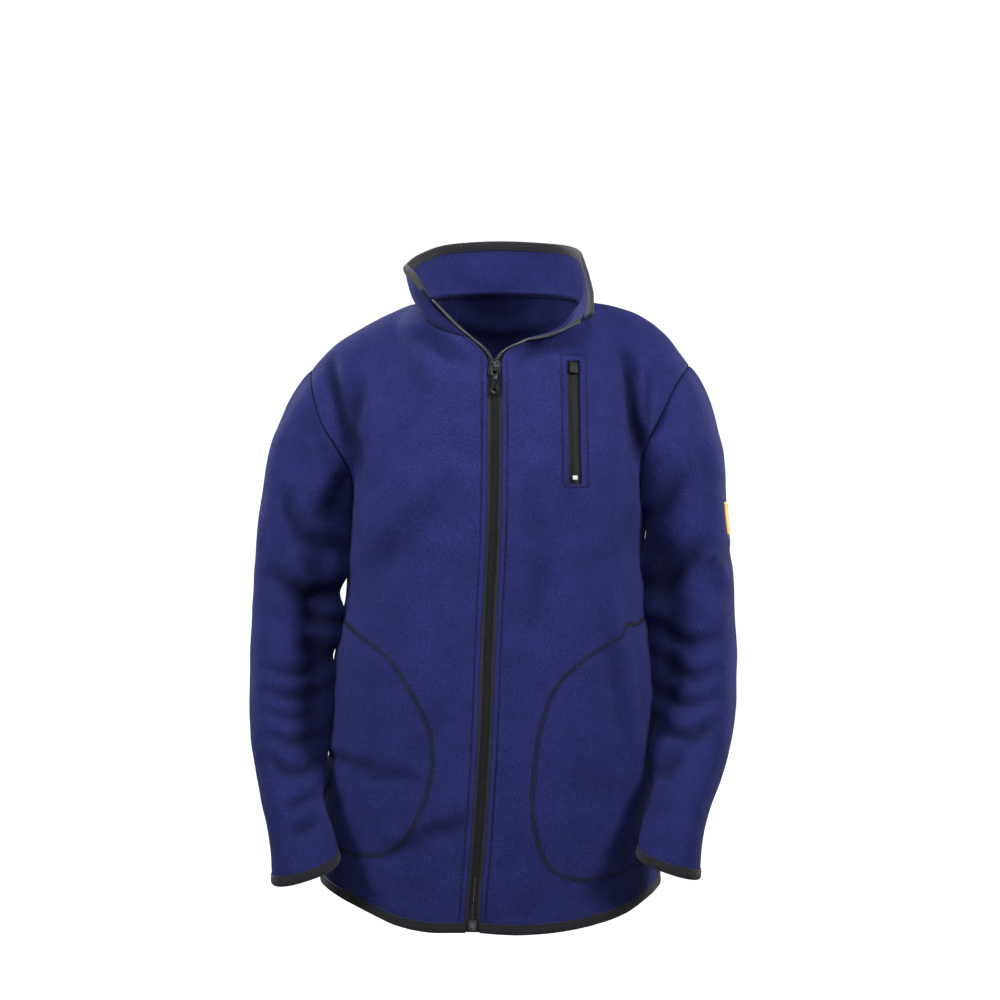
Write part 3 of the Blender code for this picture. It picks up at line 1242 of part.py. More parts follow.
def add_label(pieces, collection):
    """The small plain label, sewn flat on the outside of the left sleeve."""
    yellow = material("yellow woven label", YELLOW, 0.75)
    sleeve = pieces["sleeve_left"]
    low_z, high_z = LABEL_Z
    spots = [[(0.4, LABEL_MIDDLE_Y + along, z) for along in np.linspace(-LABEL_HALF, LABEL_HALF, 4)]
             for z in np.linspace(low_z, high_z, 5)]
    faces = laid_patch(sleeve, tree_of(sleeve.outer), spots, LAY_GAP + LABEL_THICK, LAY_GAP,
                       (-1.0, 0.0, 0.0))
    wall("sleeve_label", *faces, False, yellow, collection)


def main():
    clear_scene()
    collection = new_collection("fleece zip jacket")
    cutters = new_collection("cutters")
    pieces = cloth_pieces()
    made = add_cloth(pieces, collection)
    add_bindings(pieces, collection)
    edges = add_zip(pieces, collection)
    slider_frame = add_slider(edges, collection)
    add_pull(edges, slider_frame, collection)
    add_pocket_bags(pieces, collection)
    add_chest_pocket(pieces, made["front_left"], collection, cutters)
    add_label(pieces, collection)


main()
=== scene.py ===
"""Fleece zip jacket, worn: its cloth, bindings, zips and stitching, and the studio round it.

Metres, +Z up. The wearer faces -Y, so their left side is at +X. The solids of the frame
give every surface: a cloth node's wall is read back as rows and columns of points, and the
cloth, stitches, tapes and teeth are laid on smooth surfaces through them.
"""

from collections import namedtuple
import math

import bmesh
import bpy
from mathutils import Matrix, Vector, noise
from mathutils.bvhtree import BVHTree
import numpy as np


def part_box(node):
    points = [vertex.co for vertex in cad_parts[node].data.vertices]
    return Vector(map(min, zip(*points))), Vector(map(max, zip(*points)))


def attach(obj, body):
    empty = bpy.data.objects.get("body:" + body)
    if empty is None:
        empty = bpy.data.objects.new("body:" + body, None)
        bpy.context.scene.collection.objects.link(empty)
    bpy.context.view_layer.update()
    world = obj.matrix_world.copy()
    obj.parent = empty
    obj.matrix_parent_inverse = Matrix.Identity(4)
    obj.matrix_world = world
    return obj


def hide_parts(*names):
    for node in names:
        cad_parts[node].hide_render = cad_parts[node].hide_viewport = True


bl_info = {
    "name": "Fleece Zip Jacket",
    "version": (1, 0, 0),
    "blender": (4, 5, 0),
    "location": "View3D > Sidebar > Jacket",
    "description": "Dresses the jacket with fleece, bindings, zips and stitching",
    "category": "Object",
}

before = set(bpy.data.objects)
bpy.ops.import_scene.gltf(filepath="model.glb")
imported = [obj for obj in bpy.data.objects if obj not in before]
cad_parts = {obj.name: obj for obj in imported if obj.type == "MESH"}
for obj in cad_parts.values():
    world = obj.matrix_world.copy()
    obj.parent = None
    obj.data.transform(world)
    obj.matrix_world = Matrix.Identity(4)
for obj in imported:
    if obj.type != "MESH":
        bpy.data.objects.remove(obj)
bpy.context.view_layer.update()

# ---------------------------------------------------------------- sizes of the jacket
CLOTH = 0.0022            # fleece wall
BAG_CLOTH = 0.0012        # pocket bag wall
SEAM_REACH = 0.00028      # how far each border reaches over its seam's gap
SEAM_ROLL = 0.0015        # radius of a cloth's turn into a seam
ALLOWANCE = 0.0022        # height of the seam allowance inside
HALF_CHANNEL = 0.0068     # front's edge to the middle of the closed zip
TAPE_EDGE = 0.00674       # from a front's edge to its tape's edge
TAPE_OPEN = 0.0018        # how much less of the tape shows where its teeth stand open
TAPE_UNDER = 0.0075       # how far a tape reaches behind the front
TAPE_CLOTH = 0.0008       # thickness of the woven tapes
TAPE_MIDDLE = -0.0033     # depth of the tapes under the cloth's face
SLIDER_Z = -0.0690        # height of the main slider's middle
SLIDER_LONG = 0.0150
BINDING_WIDTH = 0.0080    # how far a binding covers each face of its edge
BINDING_STITCH = 0.0068   # from the bound edge to the binding's stitches
MOUTH_X = 0.0748          # middle of the chest pocket's mouth
MOUTH_HALF = 0.00625      # half its width
MOUTH_Z = (-0.1800, -0.0605)  # its bottom and its top
MOUTH_LEAN = 0.0015       # how far its middle shifts from top to bottom
MOUTH_TURN = 0.0060       # how far round the mouth the cloth turns in
MOUTH_STITCH = (0.0121, 0.0029, 0.0057)  # its stitched box: half width, below and above the mouth
STITCH_REACH = 0.0140     # how far round the mouth the box's groove reaches
CHEST_TAPE_HALF = 0.0098  # half the width of the chest zip's tape
CHEST_TAPE_DEPTH = 0.0031  # how far the tape lies under the cloth's face

ZIP_STITCH = 0.0055       # topstitch beside the zip, from the front's edge
GROOVE = (0.0006, 0.0005)  # depth and half width of the groove that the box's stitches pull in

# The main zip's moulded teeth.
TOOTH_LONG = 0.0044
TOOTH_HIGH = 0.0025
TOOTH_EDGE = 0.00028      # rounding of their edges
TOOTH_HEAD = (0.72, 0.80)  # thickness and height of a tooth's head in those of the whole
TOOTH_WAIST = (0.80, 0.88)
TOOTH_FOOT = (1.00, 0.78)
CHAIN_TOOTH = 0.0010      # thickness of a tooth in the closed chain
OPEN_TOOTH = 0.0009       # thickness of a tooth in the open rows
TOOTH_BACK = 0.0014       # from the middle of the closed zip back to a tooth's middle
TOOTH_TILT = math.radians(-17)  # from straight across the zip
TAPE_END = 0.0098         # how far the tapes stop under the collar's top
SLIDER_WEDGE = 0.0100     # height over which the tapes part above the slider

# Distances from a border at which a cloth's rows or columns lie close together.
SEAM_ROWS = (0.0, 0.0001, 0.00035, 0.0008, 0.0015, 0.0026, 0.0044)
EDGE_ROWS = (0.0, 0.0001, 0.0004, 0.0009, 0.0017, 0.0028, 0.0042, 0.0050, 0.0055, 0.0060, 0.0068, 0.0082)
BOUND_ROWS = (0.0, 0.0030, 0.0066, 0.0078, 0.0090, 0.0105)
MOUTH_ROWS = (0.0, 0.0003, 0.0009, 0.0018, 0.0032)

# The cloth's unevenness: two noises by their waves to a metre, and how creases and swells lie.
WAVE_SEED = 1795524111     # settles the soft waves, so that each run gives the same cloth
SOFT_WAVES = 17.0
FINE_WAVES = 45.0
FINE_SHARE = 0.40         # height of the fine waves in that of the soft ones
DRIFT = 0.0045            # how far a crease wanders off its path
FACING = (0.40, 0.60)     # a crease fades where the cloth turns away from its face
LIP = (0.5, 1.9, 1.3)     # the ridge beside a crease: height in rises, place and width in widths
CREASE_FADE = 4.6         # how soon a crease fades at its ends
FOLD_SHADE = 0.9          # painted shade: how much darker the colour is painted in a fold as deep as its width
SWELL_SHADE = 1.6 * FOLD_SHADE  # the same painted shade in a hollow between swells

MERGE = 0.000003          # the frame's points within this distance are one


def metres(path):
    """A path that is written in millimetres."""
    return np.array(path, float) / 1000.0


def folds(kind, rows, *more):
    """Creases or swells from rows in millimetres: width, rise, then the points of the path."""
    return tuple(kind(metres(path), width / 1000.0, rise / 1000.0, *more) for width, rise, *path in rows)


# The lines of the hand pockets as X, Y and Z near the front, from above to below.
POCKET_RIGHT = metres((
    (-149, 20, -312), (-150, -30, -316), (-144, -65, -321.5), (-128.2, -85, -330.5),
    (-112.5, -100, -339.5), (-97.5, -110, -353.5), (-83.5, -110, -372), (-74, -120, -391.5),
    (-65.5, -120, -411.5), (-60.7, -120, -434.5), (-62.5, -120, -460.5), (-68.3, -120, -480.5),
    (-77, -120, -501.5), (-88.5, -110, -519.5), (-102, -100, -533), (-115.7, -100, -537),
    (-127.5, -90, -537.5), (-142, -75, -536), (-156, -45, -529), (-170, 10, -520),
))
POCKET_LEFT = metres((
    (144, 20, -308), (147, -30, -311), (146.5, -60, -315), (131, -80, -315), (124, -90, -323.5),
    (119, -95, -329), (103.5, -105, -336.8), (86.2, -110, -345.5), (72.8, -110, -355.2),
    (60.4, -120, -367.5), (50.8, -120, -382.8), (43.2, -120, -403.8), (36.5, -120, -434.5),
    (33.6, -120, -469), (33.6, -120, -493), (36.5, -120, -513), (43.2, -120, -534),
    (55.6, -120, -550.5), (72.8, -110, -558.2), (90, -110, -560), (103.5, -110, -558.2),
    (120.7, -100, -556), (140, -85, -550), (156, -55, -540), (166, 10, -532),
))

# A crease runs through points in X and Z on the front or the back. Its rise is its height
# outward, negative for a trough, and its width is how far its slope reaches.
Crease = namedtuple("Crease", "path width rise face")
FRONT, BACK = -1, 1
BODY_CREASES = folds(Crease, (
    (8, -3, (-93, -32), (-66, -38), (-45, -52), (-32, -66)),
    (9, -2.6, (-106, -25), (-88, -47), (-75, -73), (-70, -96)),
    (5, 1.3, (-45, -32), (-30, -48), (-21, -63)),
    (8.5, -3.2, (16, -63), (46, -48), (70, -37), (91, -22)),
    (7, -1.8, (15, -75), (32, -55), (49, -37)),
    (6.6, -7.6, (121, -40), (129, -78), (134, -102), (139, -130), (140, -165)),
    (4.5, -2.6, (146, -62), (148, -88), (149, -112), (146, -140)),
    (4, 1.6, (136, -60), (141, -95), (144, -128)),
    (6.2, -6.4, (-168, -46), (-163, -71), (-153, -103), (-141, -150)),
    (7, -5.2, (-132, -66), (-135, -98), (-139, -128), (-134, -185)),
    (8, 2.2, (-152, -54), (-145, -78), (-141, -101)),
    (16, -4.6, (-150, -300), (-125, -272), (-100, -236), (-68, -214), (-30, -170)),
    (6, -3.4, (-186, -452), (-158, -447), (-136, -452), (-112, -452)),
    (8, -2.4, (-140, -456), (-112, -462), (-88, -459), (-60, -464)),
    (8, -3.2, (-118, -541), (-92, -532), (-70, -517), (-46, -512), (-18, -492)),
    (11, 1.4, (-100, -528), (-80, -512), (-60, -506)),
    (11, -2.8, (-88, -445), (-66, -424), (-40, -377)),
    (13, -4.2, (31, -338), (38, -289), (44, -239), (34, -166)),
    (12, -1.8, (66, -166), (75, -214)),
    (12, -2.6, (99, -271), (123, -238), (138, -200)),
    (8, 3, (110, -271), (115, -310), (123, -348), (137, -424), (142, -482)),
    (9, -2.6, (101, -291), (109, -348), (124, -444)),
    (16, -2.2, (60, -453), (99, -474), (139, -482)),
    (14, -2, (-91, -589), (-73, -556)),
    (14, -2, (22, -600), (33, -558)),
    (14, -2, (91, -562), (101, -589)),
    (14, -1.6, (-160, -386), (-138, -415), (-112, -426)),
    (13, -1.4, (3, -329), (13, -386), (11, -444)),
), FRONT) + folds(Crease, (
    (11, -4.9, (-130, -150), (-100, -190), (-60, -240)),
    (11, -4.9, (70, -235), (104, -200), (132, -140)),
    (12, -5.5, (-110, -300), (-30, -318), (50, -310)),
    (11, 3.9, (-60, -345), (20, -352), (120, -332)),
    (12, -4.4, (-140, -390), (-80, -402), (-10, -396)),
    (13, -4.9, (30, -430), (48, -500), (52, -585)),
    (13, -4.4, (-88, -580), (-86, -510), (-66, -440)),
    (9, -3.5, (-50, -10), (5, -20), (58, -8)),
    (8, -4.4, (-142, -175), (-139, -120), (-136, -75)),
    (8, -4.4, (140, -75), (141, -125), (142, -175)),
), BACK)
SLEEVE_CREASES = folds(Crease, (
    (9, -6.2, (-209, -180), (-203, -210), (-188, -234), (-154, -251)),
    (8, -4.3, (-172, -219), (-160, -192), (-142, -164)),
    (10, -8.8, (-227, -262), (-208, -283), (-183, -293), (-159, -285), (-142, -270)),
    (8, -5.7, (-193, -305), (-172, -315), (-153, -310)),
    (8.5, -5.7, (-195, -329), (-172, -349), (-154, -339)),
    (6, -3.2, (-234, -359), (-208, -368), (-184, -364), (-161, -351)),
    (5.8, -3.4, (-236, -381), (-206, -390), (-181, -384), (-164, -374)),
    (4.8, -2.3, (-233, -402), (-203, -409), (-177, -402)),
    (6, -3.5, (-231, -422), (-203, -430), (-170, -423)),
    (6, -4.9, (-227, -443), (-208, -456), (-189, -458), (-172, -447)),
    (6, -4.3, (-202, -495), (-189, -485), (-174, -471)),
    (6, -4.1, (-200, -520), (-185, -510), (-166, -496)),
    (12, -3.5, (-193, -102), (-197, -146), (-192, -177)),
    (12, 2.7, (-223, -187), (-220, -146), (-209, -112)),
    (8, -3.8, (-189, -95), (-172, -141), (-153, -177)),
    (10, -7.6, (145, -291), (168, -272), (190, -252), (208, -227)),
    (10, -5.9, (140, -256), (150, -223), (168, -194), (181, -164)),
    (10, 3.5, (179, -187), (184, -151), (190, -112)),
    (12, -3, (199, -134), (206, -187)),
    (6.8, -3.8, (149, -306), (168, -327), (192, -339), (223, -330)),
    (6.2, -3.5, (151, -342), (172, -360), (195, -370), (224, -359)),
    (5.6, -3, (153, -376), (176, -391), (200, -393), (223, -382)),
    (7, -5.9, (156, -400), (172, -422), (189, -427), (220, -408)),
    (6, -4.3, (151, -463), (164, -459), (174, -447), (181, -433)),
    (8, -2.7, (145, -495), (161, -489), (178, -482)),
    (6, -3.5, (150, -132), (164, -107), (173, -81)),
    (9, -4.3, (203, -266), (221, -254), (232, -237)),
), FRONT) + folds(Crease, (
    (8, -4.9, (-224, -280), (-200, -292), (-172, -286)),
    (7.5, -4.9, (-226, -318), (-200, -322), (-172, -312)),
    (8, -3.5, (-232, -372), (-206, -366), (-176, -372)),
    (10, -4.4, (-190, -110), (-182, -160), (-170, -200)),
    (8, -4.9, (168, -288), (196, -294), (222, -284)),
    (7.5, -4.9, (170, -316), (198, -326), (222, -322)),
    (8, -3.5, (172, -376), (200, -370), (226, -376)),
    (10, -4.4, (172, -200), (184, -160), (190, -110)),
), BACK)

# A swell is a soft bulge of the cloth round a line in X, Y and Z, or a hollow where its rise
# is negative, whose colour is darkened as painted shade.
Swell = namedtuple("Swell", "path width rise")
BODY_SWELLS = folds(Swell, (
    (30, 6.2, (-146, 0, -262), (-152, 0, -305), (-159, 0, -355)),
    (30, 7, (142, 0, -215), (144, 0, -260), (148, 0, -330), (154, 0, -385)),
))
SLEEVE_SWELLS = folds(Swell, (
    (24, 10, (-151, -26, -200), (-154, -26, -250), (-159, -28, -300)),
    (18, 12.4, (-163, -24, -320), (-170, -30, -390), (-175, -54, -462)),
    (19, -9, (-177, -45, -275), (-178, -43, -330), (-179, -48, -385), (-181, -64, -440)),
    (20, 4, (-214, -50, -300), (-222, -54, -370), (-218, -72, -420)),
    (24, 12, (150, -28, -205), (152, -32, -240), (156, -28, -290)),
    (18, 11.6, (158, -26, -310), (164, -34, -390), (165, -58, -458)),
    (18, -8.5, (162, -44, -250), (163, -42, -280), (165, -42, -320), (168, -50, -385)),
    (20, 3.5, (205, -48, -300), (212, -56, -370), (208, -78, -420)),
))


# ---------------------------------------------------------------- settings
def length_setting(name, text, default, low=0.0, high=1.0):
    """A length that a user may change."""
    return bpy.props.FloatProperty(
        name=name, description=text, default=default, min=low, max=high, precision=5,
        unit="LENGTH", subtype="DISTANCE")


def colour_setting(name, text, default):
    """A colour that a user may change."""
    return bpy.props.FloatVectorProperty(
        name=name, description=text, default=default, size=3, min=0.0, max=1.0, subtype="COLOR")


def power_setting(name, text, default):
    """A light's power that a user may change."""
    return bpy.props.FloatProperty(name=name, description=text, default=default, min=0.0, unit="POWER")


class JacketCloth(bpy.types.PropertyGroup):
    """The fleece, its stitches and its bindings."""
    fleece: colour_setting("Fleece", "Colour of the brushed fleece", (0.021, 0.0255, 0.128))
    binding: colour_setting("Binding", "Colour of the stretch binding", (0.014, 0.014, 0.018))
    label: colour_setting("Label", "Colour of the plain woven label", (0.86, 0.56, 0.06))
    spacing: length_setting("Spacing", "Spacing of the cloth's rows and columns", 0.0028, 0.001, 0.02)
    waves: length_setting("Waves", "Height of the cloth's soft unevenness", 0.0014, 0.0, 0.005)
    stitch: length_setting("Stitch", "Length of a topstitch", 0.0030, 0.001, 0.01)
    thread: length_setting("Thread", "Radius of the sewing thread", 0.00027, 0.0001, 0.001)


class JacketZips(bpy.types.PropertyGroup):
    """The main zip and the chest zip."""
    pitch: length_setting("Tooth pitch", "Distance between teeth on one tape", 0.0025, 0.001, 0.01)
    tape: colour_setting("Tape", "Colour of the woven zip tapes", (0.031, 0.031, 0.037))
    plastic: colour_setting("Plastic", "Colour of the moulded teeth and slider", (0.008, 0.008, 0.009))
    bevel: length_setting("Edge", "Rounding of the moulded edges", 0.00035, 0.0, 0.001)


class JacketStudio(bpy.types.PropertyGroup):
    """The floor, the lights and the camera."""
    key: power_setting("Key", "Power of the soft light on each side", 4.6)
    top: power_setting("Top", "Power of the light above the camera", 1.6)
    low: power_setting("Low", "Power of the low light on the hem", 0.15)
    back: power_setting("Back", "Power of the soft light behind the jacket", 80.0)
    distance: length_setting("Distance", "Camera's distance from the jacket", 2.6, 0.5, 10.0)
    floor: length_setting("Floor", "Height of the floor under the shoulders", 1.40, 0.7, 3.0)


# ---------------------------------------------------------------- curves
def unit(vectors):
    """Vectors of length one."""
    vectors = np.asarray(vectors, float)
    return vectors / np.maximum(np.linalg.norm(vectors, axis=-1, keepdims=True), 1e-12)


def through(values, places, closed=False):
    """Rows of a smooth curve through the given rows, at places that are counted in rows."""
    values = np.asarray(values, float)
    count = len(values)
    flat = values.reshape(count, -1)
    if count < 3:
        matrix, second = np.eye(count), np.zeros_like(flat)
    elif closed:
        matrix = 4.0 * np.eye(count) + np.roll(np.eye(count), 1, 0) + np.roll(np.eye(count), -1, 0)
        second = 6.0 * (np.roll(flat, -1, 0) - 2.0 * flat + np.roll(flat, 1, 0))
    else:
        matrix = 4.0 * np.eye(count) + np.eye(count, k=1) + np.eye(count, k=-1)
        matrix[0], matrix[-1] = np.eye(count)[0], np.eye(count)[-1]
        second = np.zeros_like(flat)
        second[1:-1] = 6.0 * (flat[2:] - 2.0 * flat[1:-1] + flat[:-2])
    bend = np.linalg.solve(matrix, second)
    places = np.asarray(places, float)
    low = np.floor(places).astype(int)
    if not closed:
        low = np.clip(low, 0, count - 2)
    t = (places - low)[:, None]
    here, there = low % count, (low + 1) % count
    made = (flat[here] * (1 - t) + flat[there] * t
            + ((1 - t) ** 3 - (1 - t)) * bend[here] / 6 + (t ** 3 - t) * bend[there] / 6)
    return made.reshape(len(places), *values.shape[1:])


def reach_along(points, axis=0):
    """Length from the first point to each point, along an axis."""
    steps = np.linalg.norm(np.diff(points, axis=axis), axis=-1)
    start = np.zeros_like(np.take(steps, [0], axis=axis))
    return np.concatenate([start, np.cumsum(steps, axis=axis)], axis=axis)


def evenly(points, step):
    """Places, counted in rows, that lie a step apart along a line of points."""
    reach = reach_along(points)
    count = max(2, round(reach[-1] / step) + 1)
    return np.interp(np.linspace(0.0, reach[-1], count), reach, np.arange(len(points)))


def crowded(steps, spacing, start, end):
    """Places along a row of steps: evenly spaced, and set close by distance at both ends."""
    reach = np.concatenate([[0.0], np.cumsum(steps)])
    tail = [reach[-1] - away for away in reversed(end)]
    count = max(2, round((tail[0] - start[-1]) / spacing) + 1)
    middle = np.linspace(start[-1], tail[0], count)[1:-1]
    return np.interp([*start, *middle, *tail], reach, np.arange(len(reach)))


def between(places, known, rows):
    """Rows at places between the known ones, in straight steps."""
    return np.stack([np.interp(places, known, rows[:, axis]) for axis in range(3)], axis=1)


def softened(values, reach):
    """Values averaged with their neighbours along the line."""
    padded = np.concatenate([values[:1].repeat(reach, 0), values, values[-1:].repeat(reach, 0)])
    weights = np.hanning(2 * reach + 3)[1:-1]
    weights /= weights.sum()
    return sum(weight * padded[index:index + len(values)] for index, weight in enumerate(weights))


def bell(away, width, power=2):
    """A smooth hump of height 1 that falls off within a width."""
    return np.exp(-(away / width) ** power)


# ---------------------------------------------------------------- the frame's cloth
def shells_of(bm, wall):
    """The vertices of a wall's two faces, with its rims left out."""
    rims = [face for face in bm.faces
            if any(abs(edge.calc_length() - wall) < 0.00002 for edge in face.edges)]
    bmesh.ops.delete(bm, geom=rims, context="FACES")
    waiting, shells = set(bm.faces), []
    while waiting:
        queue = [waiting.pop()]
        shell = list(queue)
        while queue:
            for edge in queue.pop().edges:
                for face in edge.link_faces:
                    if face in waiting:
                        waiting.discard(face)
                        queue.append(face)
                        shell.append(face)
        shells.append(shell)
    return sorted(shells, key=lambda shell: -sum(face.calc_area() for face in shell))


def lattice(seed, places):
    """Whole-number places of all vertices: over each edge, the far corner mirrors the near."""
    charts, queue = {seed: places}, [seed]
    while queue:
        face = queue.pop()
        here = charts[face]
        for edge in face.edges:
            a, b = edge.verts
            for other in edge.link_faces:
                if other in charts:
                    continue
                near = next(vert for vert in face.verts if vert not in (a, b))
                far = next(vert for vert in other.verts if vert not in (a, b))
                over = tuple(p + q - r for p, q, r in zip(here[a], here[b], here[near]))
                charts[other] = {a: here[a], b: here[b], far: over}
                queue.append(other)
    return [pair for chart in charts.values() for pair in chart.items()]


def laid_out(pairs, wrap):
    """Labelled vertices as an array of rows and columns; a missing one is not a number."""
    spots = np.array([place for _, place in pairs])
    if wrap:
        spots[:, 1] %= wrap
    spots -= spots.min(axis=0)
    grid = np.full((*(spots.max(axis=0) + 1), 3), np.nan)
    for (vert, _), (row, col) in zip(pairs, spots):
        grid[row, col] = vert.co
    return grid


def filled(grid):
    """The grid with each row's missing points on a smooth curve through its neighbours."""
    cols = np.arange(grid.shape[1])
    for row in grid:
        missing = np.isnan(row[:, 0])
        if missing.any():
            near = np.where(~missing & (np.abs(cols - cols[missing].mean()) < 5))[0]
            for axis in range(row.shape[1]):
                row[missing, axis] = np.polyval(np.polyfit(near, row[near, axis], 3), cols[missing])
    return grid


def wall_points(node, wall, closed, gap):
    """The outer points of a cloth node in rows and columns, and the outward normals there."""
    bm = bmesh.new()
    bm.from_mesh(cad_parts[node].data)
    bmesh.ops.remove_doubles(bm, verts=bm.verts, dist=MERGE)
    if gap:
        low, high = gap
        inside = [vert for vert in bm.verts if low[0] < vert.co.x < high[0] and low[1] < vert.co.z < high[1]]
        bmesh.ops.delete(bm, geom=inside, context="VERTS")
    outer, inner = shells_of(bm, wall)[:2]
    if closed:
        rim = min((edge for face in outer for edge in face.edges if edge.is_boundary),
                  key=lambda edge: (edge.verts[0].co + edge.verts[1].co).z)
        face, (a, b) = rim.link_faces[0], rim.verts
        far = next(vert for vert in face.verts if vert not in (a, b))
        wrap = sum(1 for f in outer for edge in f.edges if edge.is_boundary) // 2
        tries = [laid_out(lattice(face, {a: (0, 0), b: (0, 1), far: (1, turn)}), wrap) for turn in (0, 1)]
        grid = min(tries, key=lambda made: np.linalg.norm(np.diff(made, axis=0), axis=-1).sum())
    else:
        corners = {vert for face in outer for vert in face.verts if len(vert.link_faces) == 1}
        tries = []
        for corner in corners:
            face = corner.link_faces[0]
            one, two = [vert for vert in face.verts if vert is not corner]
            tries.append(laid_out(lattice(face, {corner: (0, 0), one: (0, 1), two: (1, 0)}), 0))
        grid = min(tries, key=lambda made: made.shape[0] * made.shape[1])
    backs = np.array([vert.co for vert in {vert for face in inner for vert in face.verts}])
    away = grid[:, :, None, :] - backs[None, None]
    pick = np.argmin(np.abs(np.linalg.norm(away, axis=-1) - wall), axis=2)
    normals = np.take_along_axis(away, pick[:, :, None, None], axis=2)[:, :, 0]
    normals[np.isnan(grid)] = np.nan
    bm.free()
    return grid, normals


class Cloth:
    """A cloth node of the frame as a smooth surface over its rows and columns."""

    def __init__(self, node, wall=CLOTH, closed=False, gap=None, creases=BODY_CREASES, swells=BODY_SWELLS):
        grid, normals = wall_points(node, wall, closed, gap)
        both = np.concatenate([grid, normals], axis=2)
        # Rows run up a flat piece, and down a sleeve from its shoulder to its cuff.
        upright = np.nanmean(np.abs(both[-1, :, 2] - both[0, :, 2]))
        if not closed and upright < np.nanmean(np.abs(both[:, -1, 2] - both[:, 0, 2])):
            both = both.swapaxes(0, 1)
        if (np.nanmean(both[0, :, 2]) > np.nanmean(both[-1, :, 2])) != closed:
            both = both[::-1]
        # Columns start under the arm, at the zip's side of a front or bag, or at the wearer's right.
        if closed:
            both = np.roll(both, -int(np.argmin(both[0, :, 2])), axis=1)
            if both[0, 1, 1] > both[0, -1, 1]:
                both = np.roll(both[:, ::-1], 1, axis=1)
        else:
            first, last = np.nanmean(both[:, 0, 0]), np.nanmean(both[:, -1, 0])
            outward = abs(first) > abs(last) if node.startswith(("front", "pocket")) else first > last
            if outward:
                both = both[:, ::-1]
        both = filled(both)
        self.node = node
        self.closed = closed
        self.wall = wall
        self.creases = creases
        self.swells = swells
        self.grid = both[:, :, :3]
        self.normals = unit(both[:, :, 3:])
        self.rows, self.cols = self.grid.shape[:2]

    def at(self, rows, cols):
        """Points and outward normals at row places by column places."""
        return self.folded(rows, cols)[:2]

    def folded(self, rows, cols):
        """Points, outward normals and how deep in a fold each point lies, at most 1, which sets its painted
        shade.
        """
        def spread(values):
            """Values over the rows and columns, at the places asked for."""
            across = through(values, rows).swapaxes(0, 1)
            return through(across, cols, self.closed).swapaxes(0, 1)
        points, normals = spread(self.grid), unit(spread(self.normals))
        rise, hollow = unevenness(points, normals, self.creases, self.swells)
        return points + normals * rise[..., None], normals, hollow


def off_path(points, path):
    """Distance from a line through the path, side of it, and share of its length, at points."""
    path = np.asarray(path, float)
    lengths = reach_along(path)
    nearest = np.full(points.shape[:-1], 1.0)
    side, share = np.zeros(nearest.shape), np.zeros(nearest.shape)
    for index, start in enumerate(path[:-1]):
        line = path[index + 1] - start
        step = np.clip((points - start) @ line / (line @ line), 0.0, 1.0)
        away = points - start - step[..., None] * line
        gap = np.linalg.norm(away, axis=-1)
        closer = gap < nearest
        nearest = np.where(closer, gap, nearest)
        side = np.where(closer, np.sign(line[0] * away[..., -1] - line[-1] * away[..., 0]), side)
        share = np.where(closer, (lengths[index] + step * np.linalg.norm(line)) / lengths[-1], share)
    return nearest, side, share


def unevenness(points, normals, creases, swells):
    """Height of the creases, swells and soft waves at the points, and how deep in a fold each lies, which
    sets its painted shade.
    """
    waves = bpy.context.scene.jacket_cloth.waves
    rise = np.zeros(points.shape[:-1])
    hollow = np.zeros(rise.shape)
    drift = np.zeros((*rise.shape, 2))
    noise.seed_set(WAVE_SEED)
    for index in np.ndindex(rise.shape):
        spot = Vector(points[index])
        soft = noise.noise_vector(spot * SOFT_WAVES)
        fine = noise.noise(spot * FINE_WAVES + Vector((7, 3, 1)))
        rise[index] = waves * (soft.z + FINE_SHARE * fine)
        drift[index] = soft.x, soft.y
    drifted = points[..., [0, 2]] + DRIFT * drift
    lip_rise, lip_away, lip_width = LIP
    for crease in creases:
        facing = np.clip((crease.face * normals[..., 1] + FACING[0]) / FACING[1], 0.0, 1.0)
        nearest, side, share = off_path(drifted, crease.path)
        trough = bell(nearest, crease.width)
        lip = bell(nearest * side - lip_away * crease.width, lip_width * crease.width)
        part = np.clip(CREASE_FADE * share * (1.0 - share), 0.0, 1.0) * facing
        rise += crease.rise * (trough - lip_rise * lip) * part
        hollow -= FOLD_SHADE * min(crease.rise, 0.0) / crease.width * trough * part
    for swell in swells:
        part = bell(off_path(points, swell.path)[0], swell.width)
        rise += swell.rise * part
        hollow -= SWELL_SHADE * min(swell.rise, 0.0) / swell.width * part
    return rise, np.clip(hollow, 0.0, 1.0)


def rolled(away, radius=SEAM_ROLL):
    """How deep a cloth turns in at a distance from its border."""
    near = np.clip(radius - away, 0.0, radius)
    return radius - np.sqrt(np.maximum(radius ** 2 - near ** 2, 0.0))


# ---------------------------------------------------------------- making pieces
def finished(name, bm, finish, nodes=(), body="jacket"):
    """Link a bmesh as a finished piece that rides on its body and stands for its nodes."""
    mesh = bpy.data.meshes.new(name)
    bm.to_mesh(mesh)
    bm.free()
    mesh.shade_smooth()
    made = bpy.data.objects.new(name, mesh)
    made.data.materials.append(finish)
    bpy.context.scene.collection.objects.link(made)
    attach(made, body)
    if nodes:
        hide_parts(*nodes)
    return made


def laid_grid(bm, points, inner, flat, hollow=None):
    """A bmesh grid moved to rows and columns of points, with its inside, flat place and the painted shade of
    its folds.
    """
    rows, cols = points.shape[:2]
    bmesh.ops.create_grid(bm, x_segments=cols - 1, y_segments=rows - 1, size=1.0)
    inside = bm.verts.layers.float_vector.new("inside")
    cut = bm.verts.layers.float_vector.new("cut")
    deep = bm.verts.layers.float.new("hollow")
    placed = {}
    for vert in bm.verts:
        col = round((vert.co.x + 1.0) / 2.0 * (cols - 1))
        row = round((vert.co.y + 1.0) / 2.0 * (rows - 1))
        vert.co = points[row, col]
        vert[inside] = inner[row, col]
        vert[cut] = (*flat[row, col], 0.0)
        vert[deep] = 0.0 if hollow is None else hollow[row, col]
        placed[row, col] = vert
    return placed


